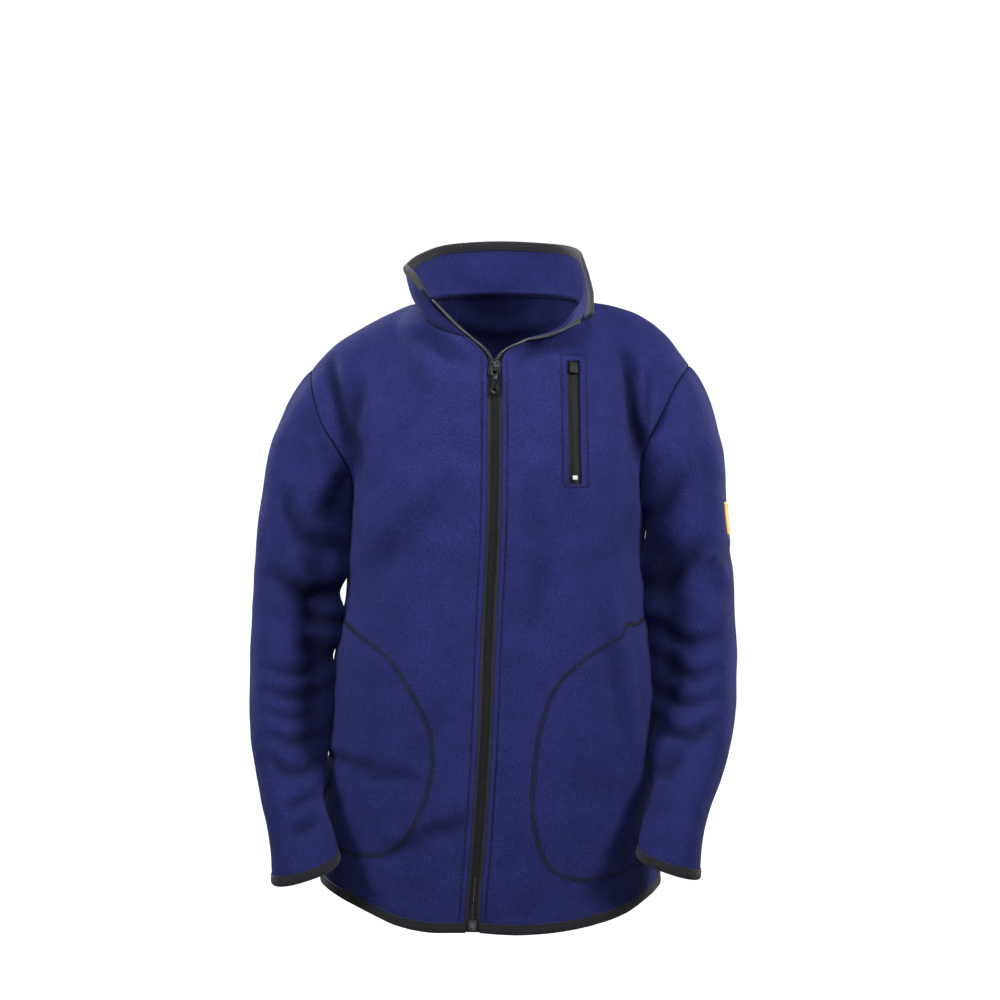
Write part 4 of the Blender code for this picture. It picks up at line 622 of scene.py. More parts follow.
def flat_uv(bm, around):
    """Give each face its place on the flat cloth; a tube's last column wraps round."""
    cut = bm.verts.layers.float_vector["cut"]
    uv = bm.loops.layers.uv.new("flat")
    for face in bm.faces:
        places = [vert[cut] for vert in face.verts]
        wide = max(place.x for place in places)
        for loop in face.loops:
            place = loop.vert[cut]
            wraps = around and wide - place.x > around / 2
            loop[uv].uv = (place.x + (around if wraps else 0.0), place.y)


def cloth_wall(bm, placed, shape, closed, around=0.0):
    """Close a laid grid into a wall: its copy moves to the inside, and rims join the two."""
    rows, cols = shape
    if closed:
        pairs = {placed[row, cols - 1]: placed[row, 0] for row in range(rows)}
        bmesh.ops.weld_verts(bm, targetmap=pairs)
    inside = bm.verts.layers.float_vector["inside"]
    made = bmesh.ops.extrude_face_region(bm, geom=bm.faces[:], use_keep_orig=True)
    for item in made["geom"]:
        if isinstance(item, bmesh.types.BMVert):
            item.co = item[inside]
    bmesh.ops.recalc_face_normals(bm, faces=bm.faces)
    flat_uv(bm, around)


def strip(name, sections, finish, nodes=(), ring=False, hollow=None):
    """A closed band: rows are its stations, columns the corners of its closed section."""
    if hollow is not None:
        hollow = np.concatenate([hollow, hollow[:, :1]], axis=1)
    points = np.concatenate([sections, sections[:, :1]], axis=1)
    if ring:
        points = np.concatenate([points, points[:1]], axis=0)
    rows, cols = points.shape[:2]
    along, across = reach_along(points, 0)[:, :1], reach_along(points, 1)[:1]
    flat = np.stack(np.broadcast_arrays(along, across), axis=-1)
    bm = bmesh.new()
    placed = laid_grid(bm, points, points, flat, hollow)
    flat_uv(bm, 0.0)
    pairs = {placed[row, cols - 1]: placed[row, 0] for row in range(rows)}
    if ring:
        pairs.update({placed[rows - 1, col]: placed[0, col] for col in range(cols - 1)})
        pairs[placed[rows - 1, cols - 1]] = placed[0, 0]
    bmesh.ops.weld_verts(bm, targetmap=pairs)
    if not ring:
        bmesh.ops.holes_fill(bm, edges=[edge for edge in bm.edges if edge.is_boundary], sides=0)
    bmesh.ops.recalc_face_normals(bm, faces=bm.faces)
    return finished(name, bm, finish, nodes)


def repeated(name, shape, frames, finish, nodes=()):
    """One joined mesh of a small shape set at each frame: its place and its three axes."""
    mould = bpy.data.meshes.new(name)
    shape.to_mesh(mould)
    shape.free()
    corners = np.array([vert.co for vert in mould.vertices])
    bm = bmesh.new()
    for spot, *axes in np.asarray(frames, float):
        mould.vertices.foreach_set("co", (spot + corners @ np.stack(axes)).ravel())
        bm.from_mesh(mould)
    bpy.data.meshes.remove(mould)
    bmesh.ops.recalc_face_normals(bm, faces=bm.faces)
    return finished(name, bm, finish, nodes)


def frames_on(points, normals, ahead, size):
    """Frames with X along the way ahead, Z along the normal, scaled by a size for each axis."""
    normals = unit(normals)
    ahead = unit(ahead - np.sum(ahead * normals, axis=-1, keepdims=True) * normals)
    side = np.cross(normals, ahead)
    return np.stack([points, ahead * size[0], side * size[1], normals * size[2]], axis=1)


def thread_shape():
    """A short round thread that dips at both ends, one unit long and wide."""
    bm = bmesh.new()
    bmesh.ops.create_uvsphere(bm, u_segments=8, v_segments=6, radius=1.0)
    bmesh.ops.rotate(bm, matrix=Matrix.Rotation(math.pi / 2, 3, "Y"), verts=bm.verts)
    for vert in bm.verts:
        vert.co.x = 0.5 * vert.co.x
        vert.co.z -= 1.6 * vert.co.x ** 2
    return bm


def stitched(name, lines, length, gap, radius, finish):
    """Rows of stitches along lines, each of them points with their normals."""
    frames = []
    for points, normals in lines:
        places = evenly(points, length + gap)
        spots = through(points, places)
        out = unit(through(normals, places))
        middle = (spots[1:] + spots[:-1]) / 2 + (out[1:] + out[:-1]) / 2 * radius * 0.5
        frames.append(frames_on(middle, out[1:] + out[:-1], spots[1:] - spots[:-1],
                                (length, radius, radius)))
    return repeated(name, thread_shape(), np.concatenate(frames), finish)


def cad_copy(node):
    """A merged copy of a node of the frame."""
    bm = bmesh.new()
    bm.from_mesh(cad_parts[node].data)
    bmesh.ops.remove_doubles(bm, verts=bm.verts, dist=MERGE)
    bmesh.ops.dissolve_limit(bm, angle_limit=math.radians(2), verts=bm.verts, edges=bm.edges)
    return bm


def moulded(node, radius, finish, body="jacket"):
    """A copy of a node as a moulded piece, with its sharp edges rounded."""
    bm = cad_copy(node)
    sharp = [edge for edge in bm.edges if edge.is_manifold and edge.calc_face_angle() > 0.5]
    bmesh.ops.bevel(bm, geom=sharp, offset=radius, segments=2, affect="EDGES", profile=0.5,
                    material=-1, clamp_overlap=True)
    return finished(node + "_moulded", bm, finish, [node], body)


# ---------------------------------------------------------------- finishes
class Value:
    """A shader value: an expression on values adds the Math nodes that work it out."""

    def __init__(self, finish, socket):
        self.finish = finish
        self.socket = socket

    def math(self, operation, *others):
        """This value after a Math node's operation."""
        return self.finish.node("ShaderNodeMath", {"operation": operation}, dict(enumerate([self, *others])))

    def __add__(self, other):
        return self.math("ADD", other)

    def __sub__(self, other):
        return self.math("SUBTRACT", other)

    def __mul__(self, other):
        return self.math("MULTIPLY", other)

    def __rsub__(self, other):
        return self.finish.node("ShaderNodeMath", {"operation": "SUBTRACT"}, {0: other, 1: self})

    __radd__ = __add__
    __rmul__ = __mul__


class Finish:
    """A material and the nodes behind its Principled shader."""

    def __init__(self, name, roughness, **constants):
        self.material = bpy.data.materials.new(name)
        self.material.use_nodes = True
        self.tree = self.material.node_tree
        self.shader = self.tree.nodes["Principled BSDF"]
        self.shader.inputs["Roughness"].default_value = roughness
        for socket, value in constants.items():
            self.shader.inputs[socket.replace("_", " ")].default_value = value

    def node(self, kind, settings=None, inputs=None, output=0):
        """A new node's output, with its settings and the values or links of its sockets."""
        made = self.tree.nodes.new(kind)
        for setting, value in (settings or {}).items():
            setattr(made, setting, value)
        for socket, value in (inputs or {}).items():
            self.feed(made.inputs[socket], value)
        return Value(self, made.outputs[output])

    def feed(self, socket, value):
        """Link a value to a socket, or set the socket to a number or a colour."""
        if isinstance(value, Value):
            self.tree.links.new(value.socket, socket)
        else:
            socket.default_value = value

    def change(self, socket, value):
        """Feed one of the shader's own sockets."""
        self.feed(self.shader.inputs[socket], value)

    def flat(self):
        """The two lengths of the flat cloth, in metres: its UV map's U and V."""
        uv = self.node("ShaderNodeUVMap", {"uv_map": "flat"})
        first = self.node("ShaderNodeSeparateXYZ", inputs={0: uv})
        return first, Value(self, first.socket.node.outputs[1])

    def noise(self, size, detail=3.0, stretch=(1.0, 1.0, 1.0)):
        """Soft noise with features of about this size, stretched along the axes."""
        scale = [1.0 / (size * part) for part in stretch]
        place = self.node("ShaderNodeTexCoord", output="Object")
        where = self.node("ShaderNodeMapping", inputs={0: place, 3: scale})
        return self.node("ShaderNodeTexNoise", {"noise_dimensions": "3D"},
                         {"Vector": where, "Scale": 1.0, "Detail": detail})

    def hollow(self):
        """How deep in a fold, seam or groove the surface lies, from 0 to 1: the share of painted shade."""
        return self.node("ShaderNodeAttribute", {"attribute_name": "hollow"}, output=2)

    def mixed(self, factor, first, second):
        """A colour between two colours, by a changing share."""
        ends = [part if isinstance(part, Value) else (*part, 1.0) for part in (first, second)]
        return self.node("ShaderNodeMix", {"data_type": "RGBA", "clamp_factor": True},
                         {0: factor, 6: ends[0], 7: ends[1]}, output=2)

    def relief(self, height, depth, strength):
        """Bump from a height of 0 to 1, this many metres deep."""
        bump = {"Height": height, "Distance": depth, "Strength": strength}
        self.change("Normal", self.node("ShaderNodeBump", inputs=bump))


def scaled(colour, share):
    """A darker or paler shade of a colour."""
    return tuple(min(1.0, part * share) for part in colour)


def ripple(length, pitch):
    """A smooth wave from 0 to 1 that repeats at each pitch along a length."""
    return (length * (2 * math.pi / pitch)).math("SINE") * 0.5 + 0.5


def made_once(make):
    """Keep each finish, so that pieces share it."""
    kept = {}

    def get(*parts):
        if parts not in kept:
            kept[parts] = make(*parts).material
        return kept[parts]
    return get


# Sizes of the fine detail: features of a nap, and the pitch of yarns and knitted ribs.
FLEECE_NAP, FLEECE_TUFT, FLEECE_PATCH, FLEECE_WALE = 0.0014, 0.0034, 0.022, 0.0016
BINDING_RIB, BINDING_LINE, BINDING_GRAIN = 0.0011, 0.0009, 0.0012
TAPE_YARN = 0.0007
MAIN_TAPE_WEAVE = (0.022, 0.0014, 1.0)
CHEST_TAPE_WEAVE = (2 * CHEST_TAPE_HALF, 0.0020, 0.40)
LABEL_WEFT, LABEL_WARP, LABEL_GRAIN = 0.0006, 0.0005, 0.0014


@made_once
def fleece(name, share):
    """Brushed fleece: a short nap over fine knitted columns, a little uneven in colour."""
    colour = scaled(bpy.context.scene.jacket_cloth.fleece, share)
    finish = Finish(name, 0.92, Sheen_Weight=0.10, Sheen_Roughness=0.40, Sheen_Tint=(0.45, 0.50, 1.0, 1.0),
                    Specular_IOR_Level=0.12)
    nap = finish.noise(FLEECE_NAP)
    tufts = finish.noise(FLEECE_TUFT, stretch=(1.0, 1.0, 1.4))
    patches = finish.noise(FLEECE_PATCH)
    across, _ = finish.flat()
    wales = ripple(across, FLEECE_WALE)
    tone = nap * 1.7 + tufts * 0.4 + patches * 0.6 + wales * 0.10 - 0.90
    # Painted shade: the colour is mixed from a lit copy towards a darker copy where the surface lies deep in
    # a fold, seam or groove.
    hollow = finish.hollow()
    lit = finish.mixed(tone, scaled(colour, 0.55), scaled(colour, 1.50))
    deep = finish.mixed(tone, scaled(colour, 0.22), scaled(colour, 0.50))
    finish.change("Base Color", finish.mixed(hollow, lit, deep))
    finish.change("Roughness", nap * 0.12 + 0.84)
    finish.relief(nap * 0.55 + tufts * 0.45 + wales * 0.06, 0.0022, 0.9)
    return finish


@made_once
def stretch_binding():
    """Knitted stretch tape: fine ribs across its length and a dull, faintly uneven face."""
    colour = tuple(bpy.context.scene.jacket_cloth.binding)
    finish = Finish("black stretch binding", 0.82, Sheen_Weight=0.18, Sheen_Roughness=0.5,
                    Sheen_Tint=(0.8, 0.8, 0.9, 1.0), Specular_IOR_Level=0.3)
    along, across = finish.flat()
    ribs = ripple(along, BINDING_RIB)
    lines = ripple(across, BINDING_LINE)
    grain = finish.noise(BINDING_GRAIN)
    tone = grain * 0.8 + ribs * 0.25 - 0.05
    finish.change("Base Color", finish.mixed(tone, scaled(colour, 0.55), scaled(colour, 1.6)))
    finish.change("Roughness", grain * 0.15 + 0.74)
    finish.relief(ribs * 0.45 + lines * 0.25 + grain * 0.3, 0.0004, 0.8)
    return finish


@made_once
def woven_tape(width, pitch, share):
    """Zip tape woven in a herringbone of this pitch that turns along its middle."""
    colour = scaled(bpy.context.scene.jacket_zips.tape, share)
    finish = Finish("black zip tape", 0.74, Specular_IOR_Level=0.2)
    along, across = finish.flat()
    bent = (across - width / 2).math("ABSOLUTE")
    twill = ripple(along + bent, pitch)
    yarns = ripple(across, TAPE_YARN)
    # Painted shade: the tape is painted darker by its hollow share, under the closed teeth and where the
    # teeth stand open.
    hollow = finish.hollow()
    lit = finish.mixed(twill * 0.8 + yarns * 0.2, scaled(colour, 0.25), scaled(colour, 2.6))
    finish.change("Base Color", finish.mixed(hollow, lit, scaled(colour, 0.2)))
    finish.change("Roughness", twill * 0.12 + 0.68)
    finish.relief(twill * 0.7 + yarns * 0.3, 0.0003, 0.8)
    return finish


@made_once
def moulded_plastic(name, roughness, painted_light):
    """Moulded plastic with faint flow marks and rubbed patches; its whole colour is scaled by a share, paler
    above 1 as a painted highlight for glints, and darker below 1.
    """
    colour = scaled(bpy.context.scene.jacket_zips.plastic, painted_light)
    finish = Finish(name, roughness, Specular_IOR_Level=0.35)
    marks = finish.noise(0.0016, 2.0)
    finish.change("Base Color", finish.mixed(marks, scaled(colour, 0.75), scaled(colour, 1.5)))
    finish.change("Roughness", marks * 0.18 + (roughness - 0.09))
    finish.relief(marks, 0.00006, 0.6)
    return finish


@made_once
def white_plastic():
    """The white moulded stop under the chest zip's coil."""
    finish = Finish("white stop", 0.42)
    marks = finish.noise(0.0012, 2.0)
    finish.change("Base Color", finish.mixed(marks, (0.66, 0.66, 0.64), (0.84, 0.84, 0.82)))
    finish.change("Roughness", marks * 0.2 + 0.32)
    finish.relief(marks, 0.00005, 0.5)
    return finish


@made_once
def thread(name, colour):
    """Twisted sewing thread."""
    finish = Finish(name, 0.6, Specular_IOR_Level=0.35)
    twist = finish.noise(0.0005, 2.0)
    finish.change("Base Color", finish.mixed(twist, scaled(colour, 0.6), scaled(colour, 1.6)))
    finish.relief(twist, 0.00008, 0.7)
    return finish


@made_once
def woven_label():
    """Plain woven label: satin face of fine crosswise yarns."""
    colour = tuple(bpy.context.scene.jacket_cloth.label)
    finish = Finish("yellow woven label", 0.55, Specular_IOR_Level=0.4)
    across, along = finish.flat()
    weft = ripple(along, LABEL_WEFT)
    warp = ripple(across, LABEL_WARP)
    grain = finish.noise(LABEL_GRAIN, 2.0)
    tone = grain * 0.6 + weft * 0.3
    finish.change("Base Color", finish.mixed(tone, scaled(colour, 0.74), scaled(colour, 1.12)))
    finish.relief(weft * 0.6 + warp * 0.4, 0.00018, 0.8)
    return finish


@made_once
def studio_paint():
    """Pale matt paint that glows a little, for the floor and its high rim."""
    finish = Finish("pale studio paint", 0.9, Specular_IOR_Level=0.1, Emission_Color=(1.0, 1.0, 1.0, 1.0),
                    Emission_Strength=1.05)
    marks = finish.noise(0.35, 2.0)
    finish.change("Base Color", finish.mixed(marks, (0.90, 0.90, 0.90), (0.93, 0.93, 0.93)))
    return finish


BLACK_THREAD = ("black thread", (0.006, 0.006, 0.010))
NAVY_THREAD = ("navy thread", (0.006, 0.007, 0.026))
YELLOW_THREAD = ("yellow thread", (0.7, 0.42, 0.05))


# ---------------------------------------------------------------- the cloth
MOUTH_GAP = ((MOUTH_X - 0.0085, MOUTH_Z[0] - 0.001), (MOUTH_X + 0.0085, MOUTH_Z[1] + 0.001))
cloth = {}                # surfaces of the frame's cloth, by node
seen = {}                 # ray trees of the finished cloth, by node


def read_cloth():
    """Read every cloth node of the frame."""
    sleeve = {"closed": True, "creases": SLEEVE_CREASES, "swells": SLEEVE_SWELLS}
    cloth.update({
        "front_right": Cloth("front_right"),
        "front_left": Cloth("front_left", gap=MOUTH_GAP),
        "back": Cloth("back"),
        "sleeve_right": Cloth("sleeve_right", **sleeve),
        "sleeve_left": Cloth("sleeve_left", **sleeve),
        "collar": Cloth("collar", creases=(), swells=()),
        "pocket_bag_right": Cloth("pocket_bag_right", BAG_CLOTH),
        "pocket_bag_left": Cloth("pocket_bag_left", BAG_CLOTH),
    })


# What each border of a piece is, at its first and last rows and columns of points.
Borders = namedtuple("Borders", "first_row last_row first_col last_col")
FRONT_BORDERS = Borders("bound", "seam", "edge", "seam")
SLEEVE_BORDERS = Borders("seam", "bound", "inseam", "inseam")
BAG_BORDERS = Borders("raw", "raw", "raw", "raw")
BORDERS = {
    "front_right": FRONT_BORDERS,
    "front_left": FRONT_BORDERS,
    "back": Borders("bound", "seam", "seam", "seam"),
    "sleeve_right": SLEEVE_BORDERS,
    "sleeve_left": SLEEVE_BORDERS,
    "collar": Borders("seam", "bound", "edge", "edge"),
    "pocket_bag_right": BAG_BORDERS,
    "pocket_bag_left": BAG_BORDERS,
}
CLOSE_ROWS = {"seam": SEAM_ROWS, "inseam": SEAM_ROWS, "edge": EDGE_ROWS, "bound": BOUND_ROWS, "raw": (0.0,)}


def border_depth(kind, away):
    """How far a face sinks at a distance from a border, how far its inside swells, and how much painted shade
    darkens its colour.
    """
    none = 0.0 * away
    if kind in ("seam", "inseam"):
        sink = rolled(away) + 0.0012 * bell(away, 0.0050)
        return sink, ALLOWANCE * bell(away, 0.0030, 4), 0.95 * bell(away, 0.0012)
    if kind == "edge":
        groove = bell(away - ZIP_STITCH, 0.0006)
        puff = bell(away - 0.5 * ZIP_STITCH, 0.0020)
        sink = rolled(away, 0.0013) + 0.0011 * groove - 0.0004 * puff
        return sink, 0.0006 * bell(away, 0.008, 4), 0.7 * groove + 0.6 * bell(away, 0.0007)
    if kind == "bound":
        return 0.0003 - 0.0003 * np.tanh((away - BINDING_WIDTH) / 0.0010), none, none
    return none, none, none


def sheet_places(piece, borders, spacing):
    """Places of a cloth's rows and columns: even, and close together at its borders."""
    grid = np.concatenate([piece.grid, piece.grid[:, :1]], axis=1) if piece.closed else piece.grid
    row_steps = np.linalg.norm(np.diff(grid, axis=0), axis=-1).mean(axis=1)
    col_steps = np.linalg.norm(np.diff(grid, axis=1), axis=-1).mean(axis=0)
    rows = crowded(row_steps, spacing, CLOSE_ROWS[borders.first_row], CLOSE_ROWS[borders.last_row])
    cols = crowded(col_steps, spacing, CLOSE_ROWS[borders.first_col], CLOSE_ROWS[borders.last_col])
    return rows, cols


def reach_seams(points, borders, faces):
    """Move both faces' borders over the gaps of their seams."""
    whole = slice(None)
    border_lines = Borders(((0, whole), (2, whole)), ((-1, whole), (-3, whole)),
                           ((whole, 0), (whole, 2)), ((whole, -1), (whole, -3)))
    for kind, (line, inside) in zip(borders, border_lines):
        if kind == "seam":
            out = unit(points[line] - points[inside]) * SEAM_REACH
            for face in faces:
                face[line] += out


def ray_tree(points):
    """A tree for rays and nearest places over rows and columns of points."""
    rows, cols = points.shape[:2]
    cells = [(row * cols + col, row * cols + col + 1, (row + 1) * cols + col + 1, (row + 1) * cols + col)
             for row in range(rows - 1) for col in range(cols - 1)]
    return BVHTree.FromPolygons([Vector(point) for point in points.reshape(-1, 3)], cells)


def cloth_sheet(name, finish, trim=None):
    """A cloth piece with its rolled borders, seam allowances and creases."""
    piece = cloth[name]
    borders = BORDERS[name]
    bag = name.startswith("pocket")
    spacing = bpy.context.scene.jacket_cloth.spacing * (2.0 if bag else 1.0)
    points, normals, hollow = piece.folded(*sheet_places(piece, borders, spacing))
    across, up = reach_along(points, 1), reach_along(points, 0)
    away = Borders(up, up[-1:] - up, across, across[:, -1:] - across)
    sink, swell = np.zeros(across.shape), np.zeros(across.shape)
    # Seams, the zip's edge and its topstitch groove also add painted shade.
    for kind, distance in zip(borders, away):
        deeper, thicker, darker = border_depth(kind, distance)
        sink, swell, hollow = np.maximum(sink, deeper), np.maximum(swell, thicker), np.maximum(hollow, darker)
        if kind == "edge":
            sink = np.where(deeper < 0.0, np.minimum(sink, sink + deeper), sink)
    outer = points - normals * sink[..., None]
    inner = points - normals * (piece.wall + swell)[..., None]
    reach_seams(points, borders, (outer, inner))
    around = across[:, -1].mean() if piece.closed else 0.0
    if piece.closed:
        flat = np.stack(np.broadcast_arrays(across / across[:, -1:] * around, up), axis=-1)
    else:
        flat = np.stack(np.broadcast_arrays(across - across[:, -1:] / 2, up), axis=-1)
    bm = bmesh.new()
    laid = laid_grid(bm, outer, inner, flat, hollow)
    if trim:
        trim(bm)
    cloth_wall(bm, laid, outer.shape[:2], piece.closed, around)
    made = finished(name + "_cloth", bm, finish, [name])
    seen[name] = ray_tree(outer)
    cells = np.cross(points[1:, 1:] - points[:-1, :-1], points[1:, :-1] - points[:-1, 1:])


def mouth_middle(z):
    """X of the leaning chest pocket's middle line at a height."""
    low, high = MOUTH_Z
    return MOUTH_X + MOUTH_LEAN * (0.5 - (z - low) / (high - low))


def mouth_distance(co):
    """How far a place on the left front lies outside the chest pocket's mouth."""
    low, high = MOUTH_Z
    over = abs(co.x - mouth_middle(co.z)) - MOUTH_HALF
    above = max(low - co.z, co.z - high)
    if over > 0.0 and above > 0.0:
        return math.hypot(over, above)
    return max(over, above)


def box_distance(co):
    """How far a place on the left front lies from the stitched box round the mouth."""
    low, high = MOUTH_Z
    wide, below, above = MOUTH_STITCH
    return abs(max(abs(co.x - mouth_middle(co.z)) - wide, low - below - co.z, co.z - high - above))


def cut_box(bm, half, low, high, reach):
    """Cut the faces within a reach of the mouth along a leaning box, so that edges follow it."""
    bottom, top = MOUTH_Z
    lean = Vector((top - bottom, 0.0, MOUTH_LEAN)).normalized()
    planes = [((MOUTH_X + side * half, 0.0, (bottom + top) / 2), lean) for side in (-1, 1)]
    planes += [((MOUTH_X, 0.0, level), Vector((0, 0, 1))) for level in (low, high)]
    for spot, way in planes:
        near = [face for face in bm.faces if mouth_distance(face.calc_center_median()) < reach]
        parts = dict.fromkeys(near)
        parts.update(dict.fromkeys(edge for face in near for edge in face.edges))
        parts.update(dict.fromkeys(vert for face in near for vert in face.verts))
        bmesh.ops.bisect_plane(bm, geom=list(parts), dist=0.000001, plane_co=spot, plane_no=way)


def cut_mouth(bm):
    """Cut the chest pocket's mouth out of the left front and turn its edges in."""
    inside = bm.verts.layers.float_vector["inside"]
    deep = bm.verts.layers.float["hollow"]
    low, high = MOUTH_Z
    for away in MOUTH_ROWS:
        cut_box(bm, MOUTH_HALF + away, low - away, high + away, MOUTH_TURN)
    wide, below, above = MOUTH_STITCH
    for away in (-0.0007, 0.0, 0.0007):
        cut_box(bm, wide + away, low - below - away, high + above + away, STITCH_REACH)
    gone = [face for face in bm.faces if mouth_distance(face.calc_center_median()) < 0.0]
    bmesh.ops.delete(bm, geom=gone, context="FACES")
    depth, width = GROOVE
    for vert in bm.verts:
        away = mouth_distance(vert.co)
        if away < MOUTH_TURN:
            normal = (vert.co - vert[inside]).normalized()
            vert.co -= normal * float(rolled(np.array(max(away, 0.0)), 0.0012))
        if away < STITCH_REACH:
            groove = math.exp(-(box_distance(vert.co) / width) ** 2)
            vert.co -= (vert.co - vert[inside]).normalized() * depth * groove
            # Painted shade in the groove that the box's stitches pull in.
            vert[deep] = max(vert[deep], 0.8 * groove)


class JACKET_OT_fleece(bpy.types.Operator):
    """Make the fronts, back, sleeves, collar and pocket bags of fleece"""
    bl_idname = "jacket.fleece"
    bl_label = "Fleece"

    def execute(self, context):
        read_cloth()
        for name in ("front_right", "back", "sleeve_right", "sleeve_left", "collar"):
            cloth_sheet(name, fleece("navy fleece", 1.0))
        cloth_sheet("front_left", fleece("navy fleece", 1.0), trim=cut_mouth)
        for name in ("pocket_bag_right", "pocket_bag_left"):
            cloth_sheet(name, fleece("navy fleece inside", 1.08))
        return {"FINISHED"}


# ---------------------------------------------------------------- bindings
BINDING_STEP = 0.0030     # between the stations along a binding
BINDING_GAP = 0.0006      # between its stitches
PUCKERS = 160.0           # waves of its uneven edge to a metre
PUCKER_RISE = 0.0002
SHORT_STITCH = 0.8        # a short stitch in the length of a topstitch


def binding_section():
    """The folded binding's section as distance beyond the edge and height from the face."""
    outside = [(-BINDING_WIDTH, -0.0002), (-BINDING_WIDTH + 0.0003, 0.0005), (-0.0070, 0.0008),
               (-0.0062, 0.0006), (-0.0050, 0.0010), (-0.0030, 0.0012), (-0.0010, 0.0012), (0.0006, 0.0009),
               (0.0015, 0.0003), (0.0020, -0.0006)]
    mirrored = [(beyond, -CLOTH - out) for beyond, out in reversed(outside)]
    hidden = [(-BINDING_WIDTH, -CLOTH + 0.0006), (0.0008, -CLOTH + 0.0004), (0.0008, -0.0004),
              (-BINDING_WIDTH, -0.0006)]
    return outside + mirrored + hidden


def bound_line(name, edge_row, inner_row, cols):
    """Stations along a bound edge: its points, the points inside it and both normals."""
    points, normals = cloth[name].at([edge_row, inner_row], cols)
    return points[0], points[1], normals[0], normals[1]


def sewn_on(lines):
    """One run of stations along lines that follow each other, with each seam at their middle."""
    run = lines[0]
    for line in lines[1:]:
        run = np.concatenate([run[:-1], (run[-1:] + line[:1]) / 2, line[1:]])
    return run


def binding(name, lines, ring=False):
    """A folded binding round the edge that the lines follow, and the line of its stitches."""
    edge, inner, normal, inner_normal = (sewn_on(parts) for parts in zip(*lines))
    inward = inner - edge
    long = np.linalg.norm(inward, axis=1, keepdims=True)
    ahead = -unit(inward - np.sum(inward * normal, axis=1, keepdims=True) * normal)
    reach = reach_along(edge)
    pucker = np.array([[noise.noise(Vector((along * PUCKERS, 0.0, len(reach) * 0.1)))] for along in reach])
    pucker = pucker * PUCKER_RISE

    def over_cloth(away):
        """Places on the bound cloth at a distance from its edge, and the outward way there."""
        share = away / long
        return edge + inward * share, unit(normal * (1 - share) + inner_normal * share)

    stations = []
    for beyond, out in binding_section():
        if beyond >= 0.0:
            stations.append(edge + ahead * (beyond + 0.5 * pucker) + unit(normal) * (out + pucker))
        else:
            spots, lift = over_cloth(-beyond)
            stations.append(spots + lift * (out + pucker * (out > 0)))
    made = strip(name + "_strip", np.stack(stations, axis=1), stretch_binding(),
                 [name], ring)
    spots, lift = over_cloth(BINDING_STITCH)
    return spots + lift * 0.0007, lift


class JACKET_OT_bindings(bpy.types.Operator):
    """Bind the hem, the cuffs and the collar's top edge with folded stretch tape"""
    bl_idname = "jacket.bindings"
    bl_label = "Bindings"

    def execute(self, context):
        lines = []
        for name in ("front_right", "back", "front_left"):
            places = evenly(cloth[name].grid[0], BINDING_STEP)
            lines.append(bound_line(name, 0, 1, places[::-1] if name == "front_left" else places))
        rows = [binding("hem_binding", lines)]
        for side in ("right", "left"):
            sleeve = cloth["sleeve_" + side]
            ring = np.concatenate([sleeve.grid[-1], sleeve.grid[-1, :1]])
            last = sleeve.rows - 1
            line = bound_line(sleeve.node, last, last - 1, evenly(ring, BINDING_STEP)[:-1])
            row = binding("cuff_binding_" + side, [line], ring=True)
            rows.append([np.concatenate([part, part[:1]]) for part in row])
        last = cloth["collar"].rows - 1
        line = bound_line("collar", last, last - 1, evenly(cloth["collar"].grid[-1], BINDING_STEP))
        rows.append(binding("collar_binding", [line]))
        settings = context.scene.jacket_cloth
        length = settings.stitch * SHORT_STITCH
        stitched("binding_stitches", rows, length, BINDING_GAP, settings.thread, thread(*BLACK_THREAD))
        return {"FINISHED"}


# ---------------------------------------------------------------- the main zip
class ZipEdge:
    """One side's zip edge, from the hem to the collar's top, in stations a millimetre apart."""

    def __init__(self, side):
        front = cloth["front_right" if side < 0 else "front_left"]
        collar = cloth["collar"]
        low, low_normals = front.at(np.linspace(0, front.rows - 1, 400), [0.0, 0.3])
        cols = [0.0, 0.3] if side < 0 else [collar.cols - 1.0, collar.cols - 1.3]
        high, high_normals = collar.at(np.linspace(0, collar.rows - 1, 90), cols)
        # The collar's edge follows the front's, with the points at their seam left out.
        points = np.concatenate([low[:-2], high[3:]])
        normals = np.concatenate([low_normals[:-2, 0], high_normals[3:, 0]])
        places = evenly(points[:, 0], 0.001)
        index = np.arange(len(points))
        edge, inner, normal = (between(places, index, part) for part in (points[:, 0], points[:, 1], normals))
        below = np.arange(3, 0, -1)[:, None] * (edge[1] - edge[0])
        self.edge = np.concatenate([edge[0] - below, edge])
        inner = np.concatenate([inner[0] - below, inner])
        normal = np.concatenate([normal[:1].repeat(3, 0), normal])
        self.normal = unit(softened(normal, 7))
        inward = inner - self.edge
        self.ahead = -unit(inward - np.sum(inward * self.normal, axis=1, keepdims=True) * self.normal)
        self.reach = reach_along(self.edge)
        self.rise = np.maximum.accumulate(self.edge[:, 2])

    def face(self, other):
        """Turn the closed part's way ahead to the other side."""
        over = between(self.rise, other.rise, other.edge)
        share = np.clip((SLIDER_Z + 0.004 - self.edge[:, 2:]) / SLIDER_WEDGE, 0.0, 1.0)
        mixed = unit(over - self.edge) * share + self.ahead * (1 - share)
        self.ahead = unit(softened(mixed, 5))

    def at_height(self, z):
        """Length along the edge at which it passes a height below the collar."""
        return float(np.interp(z, self.rise, self.reach))

    def at(self, along, beyond, out):
        """Places at lengths along the edge, beyond it and out from it."""
        edge = between(along, self.reach, self.edge)
        normal = unit(between(along, self.reach, self.normal))
        ahead = unit(between(along, self.reach, self.ahead))
        return edge + ahead * beyond + normal * out, normal, ahead


zip_edges = {}            # the zip's right edge at -1 and its left edge at 1


def centre_line(low_z, high_z):
    """Places, outward normals and the across direction of the closed zip between two heights."""
    right, left = zip_edges[-1], zip_edges[1]
    levels = np.linspace(low_z, high_z, 600)
    sides = [edge.at([edge.at_height(z) for z in levels], 0.0, 0.0) for edge in (right, left)]
    middle = (sides[0][0] + sides[1][0]) / 2
    return middle, unit(sides[0][1] + sides[1][1]), unit(sides[1][0] - sides[0][0])


